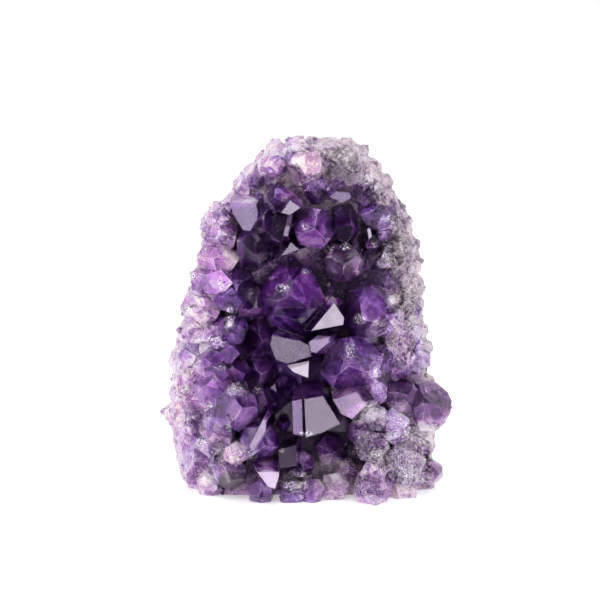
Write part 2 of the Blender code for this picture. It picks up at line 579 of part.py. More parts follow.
def rim_columns(rng):
    """The broken crystal columns along the rim."""
    columns = []
    for k, (spot, outward) in enumerate(rim_places()):
        axis = Vector((0.0, -1.0, 0.0)) - outward * rng.uniform(*RIM_TURN_IN)
        radius = RIM_RADIUS * rng.uniform(*RIM_RADIUS_RANGE)
        length = RIM_LENGTH * rng.uniform(*RIM_LENGTH_RANGE)
        broken = rng.random() < RIM_BROKEN_SHARE
        crystal = Crystal(f"rim_{k}", 0.0, 0.0, 0.0, radius, (0.0, 0.0), length=length, stub=broken)
        bm = crystal_solid(crystal, rng)
        depth = RIM_TIP_DEPTH + rng.uniform(*RIM_TIP_SCATTER)
        tip = spot - outward * RIM_SETBACK + Vector((0.0, depth, 0.0))
        bm.transform(Matrix.Translation(tip * MM) @ stand(axis, outward))
        columns.append(mesh_object(crystal.name, bm))
    return columns


def collection(name, objects):
    """A collection in the scene that holds these objects."""
    made = bpy.data.collections.new(name)
    bpy.context.scene.collection.children.link(made)
    for obj in objects:
        made.objects.link(obj)
    return made


def helper(obj):
    """Marks a cutter, which is no part of the object."""
    obj.hide_render = True
    obj.display_type = "WIRE"
    return obj


def boolean(obj, name, operation, other):
    """A Boolean modifier with one object or a whole collection."""
    modifier = obj.modifiers.new(name, "BOOLEAN")
    modifier.operation = operation
    modifier.solver = "EXACT"
    if isinstance(other, bpy.types.Collection):
        modifier.operand_type = "COLLECTION"
        modifier.collection = other
    else:
        modifier.object = other
    return modifier


def islands(bm):
    """The faces of a bmesh in groups that hang together."""
    left, groups = set(bm.faces), []
    while left:
        group, waiting = set(), [left.pop()]
        while waiting:
            face = waiting.pop()
            group.add(face)
            near = {f for edge in face.edges for f in edge.link_faces} & left
            left -= near
            waiting.extend(near)
        groups.append(group)
    return groups


def without_pockets(name, source):
    """The finished solid of an object, with the sealed pockets between its crystals filled."""
    graph = bpy.context.evaluated_depsgraph_get()
    mesh = bpy.data.meshes.new_from_object(source.evaluated_get(graph))
    bm = bmesh.new()
    bm.from_mesh(mesh)
    bmesh.ops.triangulate(bm, faces=bm.faces)
    for group in islands(bm):
        volume = sum(f.verts[0].co.dot(f.verts[1].co.cross(f.verts[2].co)) for f in group)
        if volume < 0:
            bmesh.ops.delete(bm, geom=list(group), context="FACES")
    bpy.data.meshes.remove(mesh)
    return mesh_object(name, bm)


def material(name, colour, roughness):
    """A plain Principled material."""
    made = bpy.data.materials.new(name)
    made.use_nodes = True
    shader = made.node_tree.nodes["Principled BSDF"]
    shader.inputs["Base Color"].default_value = colour
    shader.inputs["Roughness"].default_value = roughness
    shader.inputs["Metallic"].default_value = 0.0
    return made


def main():
    """Builds the crust of crystals and the rock rind behind it."""
    for obj in list(bpy.data.objects):
        bpy.data.objects.remove(obj)

    rng = random.Random(SHAPE_SEED)
    groups = CROWN + UPPER + LEFT_BANK + HEART + LOWER + RIGHT_BANK
    crystals = [crystal_object(crystal, rng) for crystal in groups]
    crystals += [mirror_object(mirror) for mirror in MIRRORS]
    crystals += rim_columns(random.Random(RIM_SEED))
    growth = collection("crystal_growth", [helper(obj) for obj in crystals])

    crust_heights = np.linspace(-SAW_ALLOWANCE, HEIGHT, CRUST_RINGS)
    crust_rings = [outer_ring(z, CRUST_RING_POINTS) for z in crust_heights]
    rind_heights = np.linspace(-SAW_ALLOWANCE, HEIGHT, RIND_RINGS)
    grown = helper(loft("crust_with_crystals", crust_rings))
    rind = loft("rock_rind", [outer_ring(z, RIND_RING_POINTS) for z in rind_heights])

    dome_heights = np.linspace(-2 * SAW_ALLOWANCE, HEIGHT - RIND_TOP, DOME_RINGS)
    dome_filled, dome_hollow = [
        helper(loft(name, [dome_ring(z, DOME_RING_POINTS, inset) for z in dome_heights]))
        for name, inset in (("dome_filled", FIT_GAP), ("dome_hollow", 0.0))
    ]
    corner = (-CUTTER_REACH, -CUTTER_REACH, -CUTTER_REACH)
    front_filled, front_hollow = [
        helper(box(name, corner, (CUTTER_REACH, RIND_STEP_DEPTH - inset, 2 * CUTTER_REACH)))
        for name, inset in (("front_filled", FIT_GAP), ("front_hollow", 0.0))
    ]
    bench = helper(box("bench", corner, (CUTTER_REACH, CUTTER_REACH, 0.0)))
    boolean(dome_filled, "with_front", "UNION", front_filled)
    boolean(dome_hollow, "with_front", "UNION", front_hollow)

    boolean(grown, "crystals", "UNION", growth)
    boolean(grown, "clear_of_rind", "INTERSECT", dome_filled)
    boolean(grown, "sawn_base", "DIFFERENCE", bench)
    boolean(rind, "hollow", "DIFFERENCE", dome_hollow)
    boolean(rind, "sawn_base", "DIFFERENCE", bench)
    collection("cutters", [grown, dome_filled, dome_hollow, front_filled, front_hollow, bench])
    bpy.context.view_layer.update()
    crust = without_pockets("amethyst_crystals", grown)

    crust.data.materials.append(material("amethyst", AMETHYST_COLOUR, 0.12))
    rind.data.materials.append(material("rind_rock", ROCK_COLOUR, 0.85))
    collection("amethyst_cluster", [crust, rind])


main()
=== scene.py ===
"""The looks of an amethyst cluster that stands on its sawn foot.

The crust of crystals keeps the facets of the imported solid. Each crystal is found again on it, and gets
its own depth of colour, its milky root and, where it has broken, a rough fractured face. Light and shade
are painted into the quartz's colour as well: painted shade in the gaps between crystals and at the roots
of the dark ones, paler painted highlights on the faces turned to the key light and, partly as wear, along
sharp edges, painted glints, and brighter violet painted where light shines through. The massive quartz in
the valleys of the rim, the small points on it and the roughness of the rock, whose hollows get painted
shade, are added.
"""

import logging
import math
import random
from dataclasses import astuple, dataclass, field, fields
from enum import Enum
from typing import Callable

import bmesh
import bpy
import numpy as np
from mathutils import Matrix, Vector, noise
from mathutils.bvhtree import BVHTree


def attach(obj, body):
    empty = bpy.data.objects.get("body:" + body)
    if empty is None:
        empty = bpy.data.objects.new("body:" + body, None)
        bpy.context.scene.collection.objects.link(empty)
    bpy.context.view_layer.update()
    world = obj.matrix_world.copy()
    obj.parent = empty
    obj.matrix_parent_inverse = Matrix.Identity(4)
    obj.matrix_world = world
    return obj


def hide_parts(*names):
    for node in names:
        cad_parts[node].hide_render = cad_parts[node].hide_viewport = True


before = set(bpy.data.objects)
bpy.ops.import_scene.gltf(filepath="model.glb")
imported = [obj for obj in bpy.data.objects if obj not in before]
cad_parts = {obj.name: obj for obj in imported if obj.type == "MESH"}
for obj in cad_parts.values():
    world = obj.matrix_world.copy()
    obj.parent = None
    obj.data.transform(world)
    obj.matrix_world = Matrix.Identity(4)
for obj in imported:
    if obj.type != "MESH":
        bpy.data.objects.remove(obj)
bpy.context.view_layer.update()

LOG = logging.getLogger("amethyst_cluster")
MM = 0.001
CRYSTALS_NODE = "amethyst_crystals"
ROCK_NODE = "rock_rind"
TRANSMISSION_BOUNCES = 16
MOST_BOUNCES = 20
NOISE_SEED = 7

Colour = tuple[float, float, float]


class Socket:
    """A shader output that takes part in expressions: each operator adds one Math node."""

    def __init__(self, shader: "Shader", output: bpy.types.NodeSocket) -> None:
        """Keeps the shader that the output belongs to.

        Args:
            shader: The shader whose node tree grows.
            output: The node's output.
        """
        self.shader = shader
        self.output = output

    def math(self, operation: str, *values: "Number") -> "Socket":
        """Adds a Math node.

        Args:
            operation: Blender's name for the operation.
            values: The operands, in order.

        Returns:
            The result.
        """
        made = self.shader.node("ShaderNodeMath", {"operation": operation}, dict(enumerate(values)))
        return Socket(self.shader, made.outputs[0])

    def __add__(self, other: "Number") -> "Socket":
        """Adds."""
        return self.math("ADD", self, other)

    __radd__ = __add__

    def __sub__(self, other: "Number") -> "Socket":
        """Subtracts."""
        return self.math("SUBTRACT", self, other)

    def __rsub__(self, other: "Number") -> "Socket":
        """Subtracts from a plain number."""
        return self.math("SUBTRACT", other, self)

    def __mul__(self, other: "Number") -> "Socket":
        """Multiplies."""
        return self.math("MULTIPLY", self, other)

    __rmul__ = __mul__

    def __pow__(self, other: "Number") -> "Socket":
        """Raises to a power."""
        return self.math("POWER", self, other)

    def __rpow__(self, other: "Number") -> "Socket":
        """Raises a plain number to this power."""
        return self.math("POWER", other, self)

    def clamped(self) -> "Socket":
        """Holds the value between 0 and 1."""
        return self.math("MINIMUM", self.math("MAXIMUM", self, 0.0), 1.0)

    def step(self, low: float, high: float) -> "Socket":
        """Rises from 0 at low to 1 at high.

        Args:
            low: Where the result is 0.
            high: Where the result is 1.

        Returns:
            The share of the way from low to high, held between 0 and 1.
        """
        return ((self - low) * (1.0 / (high - low))).clamped()


Number = Socket | float
Tint = bpy.types.NodeSocket | Colour
Input = Socket | bpy.types.NodeSocket | tuple[float, ...] | float


class CellFeature(Enum):
    """What a Voronoi node measures: the nearest cell's middle, or the way to the cell's edge."""

    MIDDLE = "F1"
    EDGE = "DISTANCE_TO_EDGE"


@dataclass(frozen=True)
class Mosaic:
    """Pieces side by side: each one's tone from 0 to 1, its slanting height, and the way to its edge."""

    tone: Socket
    slant: Socket
    seam: Socket


class Shader:
    """The node tree of one material, or of the world."""

    def __init__(self, name: str, world: bool = False) -> None:
        """Starts a tree with no nodes.

        Args:
            name: The name of the material or the world.
            world: Whether it is a world.
        """
        self.owner = (bpy.data.worlds if world else bpy.data.materials).new(name)
        self.result = "ShaderNodeOutputWorld" if world else "ShaderNodeOutputMaterial"
        self.owner.use_nodes = True
        self.tree = self.owner.node_tree
        self.tree.nodes.clear()

    def node(
        self,
        kind: str,
        settings: dict[str, str | int] | None = None,
        sockets: dict[str | int, Input] | None = None,
    ) -> bpy.types.Node:
        """Adds one node.

        Args:
            kind: Blender's node type.
            settings: The node's properties, which are set first.
            sockets: Values or links, by socket name or index.

        Returns:
            The node.
        """
        made = self.tree.nodes.new(kind)
        for name, value in (settings or {}).items():
            setattr(made, name, value)
        for name, value in (sockets or {}).items():
            self.feed(made.inputs[name], value)
        return made

    def feed(self, socket: bpy.types.NodeSocket, value: Input) -> None:
        """Sets a socket, or links it.

        Args:
            socket: The input.
            value: A Socket, a node's output, a number, a colour or a vector.
        """
        if isinstance(value, Socket):
            value = value.output
        if isinstance(value, bpy.types.NodeSocket):
            self.tree.links.new(value, socket)
        elif isinstance(value, tuple) and socket.type == "RGBA":
            socket.default_value = (*value[:3], 1.0)
        else:
            socket.default_value = value

    def vector_math(self, operation: str, *values: Input) -> bpy.types.Node:
        """Adds a Vector Math node."""
        return self.node("ShaderNodeVectorMath", {"operation": operation}, dict(enumerate(values)))

    def attribute(self, name: str) -> Socket:
        """A number that the mesh stores."""
        return Socket(self, self.node("ShaderNodeAttribute", {"attribute_name": name}).outputs["Fac"])

    def distance(self, name: str) -> Socket:
        """The length of a vector that the mesh stores."""
        stored = self.node("ShaderNodeAttribute", {"attribute_name": name}).outputs["Vector"]
        return Socket(self, self.vector_math("LENGTH", stored).outputs["Value"])

    def place(self) -> bpy.types.NodeSocket:
        """The point on the object, in metres."""
        return self.node("ShaderNodeTexCoord").outputs["Object"]

    def stretched(self, scale: tuple[float, float, float]) -> bpy.types.NodeSocket:
        """The point on the object with each axis scaled, for streaks."""
        return self.vector_math("MULTIPLY", self.place(), scale).outputs[0]

    def cloud(
        self,
        size: float,
        detail: float = 3.0,
        rough: float = 0.5,
        place: bpy.types.NodeSocket | None = None,
    ) -> Socket:
        """Soft noise.

        Args:
            size: The size of one blotch, in metres.
            detail: How many finer layers it has.
            rough: How strong those are.
            place: The coordinate, if not the object's own.

        Returns:
            A value round one half.
        """
        sockets = {"Vector": place or self.place(), "Scale": 1 / size, "Detail": detail, "Roughness": rough}
        return Socket(self, self.node("ShaderNodeTexNoise", {"noise_dimensions": "3D"}, sockets).outputs[0])

    def bands(self, along: Number, detail: float, rough: float = 0.5) -> Socket:
        """Straight lines side by side.

        Args:
            along: The way across the lines.
            detail: How many finer layers they have.
            rough: How strong those are.

        Returns:
            A value round one half.
        """
        sockets = {"W": along, "Detail": detail, "Roughness": rough}
        return Socket(self, self.node("ShaderNodeTexNoise", {"noise_dimensions": "1D"}, sockets).outputs[0])

    def ripples(self, size: float, count: float) -> Socket:
        """Curved lines side by side, like those on broken quartz.

        Args:
            size: The size of the blotches that they curve round, in metres.
            count: How many there are from its bottom to its top.

        Returns:
            A value that swings between 0 and 1.
        """
        waves = self.cloud(size, 1.5) * count
        return waves.math("PINGPONG", waves, 1.0)

    def cells(
        self,
        size: float,
        feature: CellFeature = CellFeature.MIDDLE,
        place: bpy.types.NodeSocket | None = None,
    ) -> bpy.types.Node:
        """A Voronoi node with cells of a size in metres."""
        sockets = {"Vector": place or self.place(), "Scale": 1 / size}
        return self.node("ShaderNodeTexVoronoi", {"feature": feature.value}, sockets)

    def mosaic(self, size: float) -> Mosaic:
        """Flat pieces side by side, like chips of broken quartz.

        Args:
            size: The size of one piece, in metres.

        Returns:
            What the pieces are like.
        """
        sway = self.node("ShaderNodeTexNoise", None, {"Vector": self.place(), "Scale": 0.8 / size})
        sideways = (size * 0.4,) * 3
        bent = self.vector_math("MULTIPLY_ADD", sway.outputs["Color"], sideways, self.place()).outputs[0]
        draw = self.cells(size, CellFeature.MIDDLE, bent).outputs["Color"]
        tone = self.node("ShaderNodeSeparateXYZ", None, {0: draw}).outputs[0]
        turn = self.vector_math("SUBTRACT", draw, (0.5, 0.5, 0.5)).outputs[0]
        slant = self.vector_math("DOT_PRODUCT", turn, self.place()).outputs["Value"]
        seam = self.cells(size, CellFeature.EDGE, bent).outputs["Distance"]
        return Mosaic(Socket(self, tone), Socket(self, slant) * (1 / MM), Socket(self, seam))

    def blend(self, share: Number, first: Tint, second: Tint) -> bpy.types.NodeSocket:
        """Mixes two colours.

        Args:
            share: How much of the second there is.
            first: A colour or a link.
            second: A colour or a link.

        Returns:
            The mixed colour.
        """
        return self.node("ShaderNodeMix", {"data_type": "RGBA"}, {0: share, 6: first, 7: second}).outputs[2]

    def tinted(self, colour: Tint, tint: Tint) -> bpy.types.NodeSocket:
        """A colour seen through a tint."""
        settings = {"data_type": "RGBA", "blend_type": "MULTIPLY"}
        return self.node("ShaderNodeMix", settings, {0: 1.0, 6: colour, 7: tint}).outputs[2]

    def bump(
        self,
        height: Number,
        depth: float,
        strength: float = 1.0,
        under: bpy.types.NodeSocket | None = None,
    ) -> bpy.types.NodeSocket:
        """A normal from a height between 0 and 1.

        Args:
            height: The height.
            depth: How deep a height of 1 is, in metres.
            strength: How much of it shows.
            under: A normal that it adds to.

        Returns:
            The normal.
        """
        sockets = {"Height": height, "Distance": depth, "Strength": strength}
        if under is not None:
            sockets["Normal"] = under
        return self.node("ShaderNodeBump", None, sockets).outputs[0]

    def principled(self, sockets: dict[str | int, Input]) -> bpy.types.NodeSocket:
        """A Principled surface."""
        return self.node("ShaderNodeBsdfPrincipled", None, sockets).outputs[0]

    def finish(
        self, surface: bpy.types.NodeSocket, volume: bpy.types.NodeSocket | None = None
    ) -> bpy.types.Material | bpy.types.World:
        """Links the result to the output.

        Args:
            surface: The surface shader.
            volume: The volume shader, if there is one.

        Returns:
            The material or the world.
        """
        sockets = {"Surface": surface}
        if volume is not None:
            sockets["Volume"] = volume
        self.node(self.result, None, sockets)
        return self.owner


@dataclass(frozen=True)
class QuartzColours:
    """The colours of the quartz's body, from its deepest purple to its milky roots and edges."""

    deep: Colour = (0.010, 0.003, 0.024)
    violet: Colour = (0.115, 0.021, 0.215)
    lilac: Colour = (0.435, 0.230, 0.505)
    pale: Colour = (0.780, 0.695, 0.750)
    smoke_dark: Colour = (0.060, 0.040, 0.066)
    smoke_pale: Colour = (0.520, 0.460, 0.480)
    rose: Colour = (0.800, 0.520, 0.570)
    cool: Colour = (0.86, 1.0, 1.12)
    warm: Colour = (1.10, 1.0, 0.93)
    glow_dark: Colour = (0.210, 0.036, 0.420)
    glow_pale: Colour = (0.620, 0.250, 0.770)

    def body(self, s: Shader, level: Socket) -> bpy.types.NodeSocket:
        """The body colour where the quartz is as pale as level says.

        Args:
            s: The material that grows.
            level: 0 for the deepest purple, 1 for milky white.

        Returns:
            The colour.
        """
        colour = s.blend(level.step(0.0, 0.3), self.deep, self.violet)
        colour = s.blend(level.step(0.3, 0.62), colour, self.lilac)
        colour = s.blend(level.step(0.62, 1.0), colour, self.pale)
        # Painted light: brighter, more saturated violet where light shines through, in the glow patches and
        # on some random facets
        glowing = s.blend(level.step(0.1, 0.75), self.glow_dark, self.glow_pale)
        drift = s.cloud(4.5 * MM, 2.0).step(0.36, 0.62)
        lit = s.attribute("glow") * drift + s.attribute("facet").step(0.62, 0.92) * 0.3
        colour = s.blend((lit * (1.0 - level.step(0.75, 1.0))).clamped(), colour, glowing)
        turn = s.attribute("tone") * 0.6 + s.cloud(9 * MM, 2.0).step(0.35, 0.65) * 0.4
        colour = s.tinted(colour, s.blend(turn, self.cool, self.warm))
        smoky = s.blend(level.step(0.12, 0.95) ** 1.4, self.smoke_dark, self.smoke_pale)
        colour = s.blend((s.attribute("smoke") + s.attribute("frost") * 0.2).clamped(), colour, smoky)
        blush = s.cloud(3.5 * MM, 3.0).step(0.38, 0.66)
        return s.blend(s.attribute("rose") * blush, colour, self.rose)


@dataclass(frozen=True)
class Stone:
    """The quartz at a point: numbers that the mesh stores there, and the patterns in the stone.

    plain is 0 on the faces that shine at the viewer and 1 elsewhere, and window is 1 where fine
    hatching shows.
    """

    pale: Socket
    frost: Socket
    plain: Socket
    prism: Socket
    wisps: Socket
    streaks: Socket
    haze: Socket
    ripples: Socket
    lines: Socket
    hatch: Socket
    window: Socket
    chips: Mosaic
    inner: Mosaic


@dataclass(frozen=True)
class AmethystFinish:
    """See-through purple quartz that turns milky at its roots and where it has broken.

    Its colour also holds painted light: painted shade in the gaps between crystals and at the roots of the
    dark ones, paler painted highlights on the faces turned to the key light and along sharp edges, and
    painted glints. Massive quartz is the same stone without the see-through part.
    """

    name: str = "amethyst"
    see_through: bool = True
    colours: QuartzColours = QuartzColours()
    ior: float = 1.544
    absorption: Colour = (0.60, 0.24, 0.76)
    density: float = 60.0
    clear_deep: Colour = (0.70, 0.50, 0.84)
    clear_pale: Colour = (0.97, 0.93, 0.98)
    gloss: Colour = (0.90, 0.76, 1.0)
    # A pale grey and a lilac colour painted on the faces that mirror the key light, as a painted highlight
    painted_highlight: Colour = (0.62, 0.56, 0.62)
    lilac_painted_highlight: Colour = (0.50, 0.32, 0.56)
    # The white of painted glints and sparks
    spark: Colour = (0.95, 0.92, 0.96)
    wisp_size: float = 5 * MM
    fine_size: float = 1.2 * MM
    streak_size: float = 1.8 * MM
    haze_size: float = 4 * MM
    veil_size: float = 1.5 * MM
    swarm_size: float = 6 * MM
    ripple_size: float = 3.5 * MM
    ripple_count: float = 26.0
    curl_size: float = 1.8 * MM
    curl_count: float = 16.0
    ragged_size: float = 0.9 * MM
    spark_size: float = 0.8 * MM
    growth_lines: float = 2.3
    hatch_lines: float = 1.1
    waver: float = 1.6
    waver_size: float = 2.5 * MM
    window_size: float = 4 * MM
    chip_size: float = 0.85 * MM
    chip_slant: float = 1.2
    inner_size: float = 3.2 * MM
    inner_slant: float = 0.12
    inner_tones: float = 0.30
    dent_size: float = 1.6 * MM
    shine_size: float = 3 * MM
    edge_radius: float = 0.30 * MM

    def make(self) -> bpy.types.Material:
        """Builds the material.

        Returns:
            The material.
        """
        s = Shader(self.name)
        q = self.stone(s)
        wear_and_edge_highlight, rounded = self.wear_and_edge_highlights(s)
        level = self.level(s, q, wear_and_edge_highlight)
        veils = s.cloud(self.veil_size, 6.0, 0.7, s.stretched((1.0, 1.0, 0.4)))
        swarm = s.cloud(self.swarm_size, 2.0).step(0.48, 0.62)
        flecks = veils.step(0.60, 0.66) * swarm * q.plain * (0.45 + q.pale * 0.4)
        flecks = flecks + q.hatch.step(0.64, 0.7) * q.window * 0.6
        # Painted shade: the deepest purple painted into gaps that see little sky, more on dark crystals
        painted_gap_shade = (1.0 - s.attribute("open")).step(0.30, 0.85)
        # Painted glints: white curled lines with dark ones beside them, and white sparks on frosted quartz
        spark, dark = self.glints(s, q)
        colour = self.colours.body(s, (level + flecks * 0.5).clamped())
        colour = s.blend((painted_gap_shade * (0.85 - q.pale)).clamped(), colour, self.colours.deep)
        colour = s.blend(spark, s.blend(dark, colour, self.colours.deep), self.spark)
        # Painted highlight: a pale colour painted over the faces that mirror the key light, on top of their
        # real reflection
        sheen = s.attribute("highlight_paint")
        highlight_paint = s.blend(s.attribute("blush"), self.painted_highlight, self.lilac_painted_highlight)
        colour = s.blend(sheen * (0.7 + q.haze * 0.6), colour, highlight_paint)

        smooth, broken = self.relief(s, q, rounded)
        dull = s.attribute("dull") * (0.5 + q.haze)
        shine = s.cloud(self.shine_size).step(0.5, 0.9) * 0.12
        glass = {"IOR": self.ior, "Specular Tint": self.gloss}
        sockets = {"Base Color": colour, "Roughness": 0.07 + shine + q.frost * 0.1 + dull, "Normal": broken}
        body = s.principled(sockets | glass)
        if not self.see_through:
            return s.finish(body)
        tint = s.blend(level.clamped(), self.clear_deep, self.clear_pale)
        sockets = {"Base Color": tint, "Roughness": 0.02 + shine + dull, "Normal": smooth}
        clear = s.principled(sockets | glass | {"Transmission Weight": 1.0})
        # Where highlights, gap shade and glints are painted, more of the opaque body shows
        share = 0.58 + (level - 0.2) * 0.5 + q.frost * 0.3 + flecks * 0.35 + sheen * 0.5 + painted_gap_shade * 0.3 + spark
        share = (share + s.attribute("back") * 2.0).clamped()
        surface = s.node("ShaderNodeMixShader", None, {0: share, 1: clear, 2: body}).outputs[0]
        sockets = {"Color": self.absorption, "Density": self.density}
        return s.finish(surface, s.node("ShaderNodeVolumeAbsorption", None, sockets).outputs[0])

    def stone(self, s: Shader) -> Stone:
        """Reads what the mesh stores, and lays out the patterns in the stone.

        Args:
            s: The material that grows.

        Returns:
            The stone.
        """
        plain = 1.0 - s.attribute("mirror")
        waver = s.cloud(self.waver_size, 2.0) * self.waver
        return Stone(
            pale=s.attribute("pale"),
            frost=s.attribute("frost"),
            plain=plain,
            prism=s.attribute("prism"),
            wisps=s.cloud(self.wisp_size, 4.0, 0.6),
            streaks=s.cloud(self.streak_size, 4.0, 0.6, s.stretched((1.0, 1.0, 0.45))),
            haze=s.cloud(self.haze_size, 1.0, 0.4),
            ripples=s.ripples(self.ripple_size, self.ripple_count),
            lines=s.bands(s.attribute("along") * self.growth_lines, 3.0),
            hatch=s.bands(s.attribute("hatch") * self.hatch_lines + waver, 2.5, 0.6),
            window=s.cloud(self.window_size, 2.0).step(0.44, 0.58) * plain,
            chips=s.mosaic(self.chip_size),
            inner=s.mosaic(self.inner_size),
        )

    def level(self, s: Shader, q: Stone, wear_and_edge_highlight: Socket) -> Socket:
        """How pale the stone is: 0 for the deepest purple, 1 for milky white.

        Args:
            s: The material that grows.
            q: The stone.
            wear_and_edge_highlight: Where its sharp edges are paled, partly by wear and partly as a painted
                highlight.

        Returns:
            The level, which may pass both ends.
        """
        fine = s.cloud(self.fine_size, 4.0, 0.65)
        # Near a crystal's root: milky on pale crystals, and painted shade on dark ones, where the gaps
        # between them lie
        root = 1.0 - s.attribute("rise").step(0.0, 0.55)
        light, shade = q.hatch.step(0.54, 0.62), 1.0 - q.hatch.step(0.36, 0.44)
        pits = 1.0 - q.chips.seam.step(0.0, 0.09)
        level = q.pale + (q.wisps - 0.5) * (q.pale * 0.5 + 0.4) * (1.0 - q.frost * 0.4)
        level = level + (fine - 0.5) * q.plain * 0.3 + (q.streaks - 0.5) * (0.1 + q.plain * 0.3)
        level = level + (q.lines - 0.5) * (q.prism * 0.6 + 0.2)
        level = level + (light - shade) * q.window * (0.12 + q.pale * 0.14)
        level = level + (q.ripples - 0.5) * q.frost * 0.45 + s.attribute("fade") * 0.16
        level = level + (s.attribute("tone") - 0.5) * 0.2
        level = level + (s.attribute("facet") - 0.5) * (0.42 - q.pale * 0.2)
        # Sharp edges are paled, partly as wear and partly as a painted highlight
        level = level + root * (q.pale - 0.3) * 0.5 + wear_and_edge_highlight * q.wisps * 0.9
        level = level + ((q.chips.tone - 0.5) * 0.7 - pits * 0.3) * q.frost
        level = level + (q.inner.tone - 0.5) * self.inner_tones
        return level * (0.5 + q.plain * 0.5)

    def glints(self, s: Shader, q: Stone) -> tuple[Socket, Socket]:
        """Painted glints where small breaks catch the light, with dark lines beside them, and painted
        sparks on frost.

        Args:
            s: The material that grows.
            q: The stone.

        Returns:
            How white and how dark they make a place.
        """
        near = 1.0 - s.distance("glint").step(0.45, 1.1)
        curls = s.ripples(self.curl_size, self.curl_count)
        ragged = s.cloud(self.ragged_size, 3.0, 0.6).step(0.43, 0.53)
        dark = near * (1.0 - curls.step(0.05, 0.30)) * (0.6 - q.pale * 0.3)
        dots = s.cells(self.spark_size)
        dot = 1.0 - Socket(s, dots.outputs["Distance"]).step(0.16, 0.26)
        lone = Socket(s, dots.outputs["Color"]).step(0.6, 0.66) * q.frost
        spark = (near * curls.step(0.40, 0.70) * ragged).clamped()
        return (spark + dot * lone * 0.8).clamped(), dark

    def relief(
        self, s: Shader, q: Stone, rounded: bpy.types.NodeSocket
    ) -> tuple[bpy.types.NodeSocket, bpy.types.NodeSocket]:
        """The fine relief of the faces.

        Args:
            s: The material that grows.
            q: The stone.
            rounded: The normal with the edges rounded.

        Returns:
            The normal of the clear quartz, and that of its body, which is broken where it is frosted.
        """
        dents = s.cloud(self.dent_size, 2.0) * q.plain
        smooth = s.bump(dents, 0.03 * MM, 0.15, rounded)
        smooth = s.bump(q.inner.slant * q.plain * self.inner_slant, MM, 1.0, smooth)
        smooth = s.bump(q.lines * q.prism, 0.12 * MM, 0.7, smooth)
        smooth = s.bump(q.hatch * q.window, 0.10 * MM, 0.5, smooth)
        crisp = q.frost * q.plain
        flat = s.node("ShaderNodeNewGeometry").outputs["Normal"]
        sockets = {0: crisp.step(0.2, 0.4), 4: smooth, 5: flat}
        broken = s.node("ShaderNodeMix", {"data_type": "VECTOR"}, sockets).outputs[1]
        broken = s.bump(q.ripples * crisp, 0.22 * MM, 0.8, broken)
        return smooth, s.bump(q.chips.slant * crisp, MM, self.chip_slant, broken)

    def wear_and_edge_highlights(self, s: Shader) -> tuple[Socket, bpy.types.NodeSocket]:
        """Where a crystal's sharp edges are paled: partly wear, partly a painted highlight along them.

        Args:
            s: The material that grows.

        Returns:
            A value that is 1 on a sharp edge away from the root, and the normal with the edges rounded.
        """
        rounded = s.node("ShaderNodeBevel", {"samples": 4}, {"Radius": self.edge_radius}).outputs[0]
        flat = s.node("ShaderNodeNewGeometry").outputs["True Normal"]
        same = Socket(s, s.vector_math("DOT_PRODUCT", rounded, flat).outputs["Value"])
        return (1.0 - same).step(0.01, 0.10) * s.attribute("rise").step(0.25, 0.5), rounded


@dataclass(frozen=True)
class PointFinish:
    """Small points and broken stumps of quartz: half clear, half milky."""

    name: str = "small_quartz"
    colours: QuartzColours = QuartzColours()
    ior: float = 1.544
    transmission: float = 0.2
    wisp_size: float = 2.5 * MM
    ripple_size: float = 3.5 * MM
    ripple_count: float = 26.0
    chip_size: float = 0.9 * MM
    chip_slant: float = 0.9

    def make(self) -> bpy.types.Material:
        """Builds the material.

        Returns:
            The material.
        """
        s = Shader(self.name)
        wisps = s.cloud(self.wisp_size, 4.0, 0.6)
        ripples = s.ripples(self.ripple_size, self.ripple_count)
        chips = s.mosaic(self.chip_size)
        level = s.attribute("pale") + (s.attribute("tone") - 0.5) * 0.35 + (wisps - 0.5) * 0.8
        level = level + (s.attribute("facet") - 0.5) * 0.3 + (ripples - 0.5) * 0.2
        level = level + (chips.tone - 0.5) * 0.35
        sockets = {
            "Base Color": self.colours.body(s, level.clamped()),
            "Roughness": 0.05 + wisps.step(0.4, 0.8) * 0.15,
            "IOR": self.ior,
            "Transmission Weight": self.transmission,
            "Normal": s.bump(chips.slant, MM, self.chip_slant, s.bump(ripples, 0.15 * MM, 0.6)),
        }
        return s.finish(s.principled(sockets))


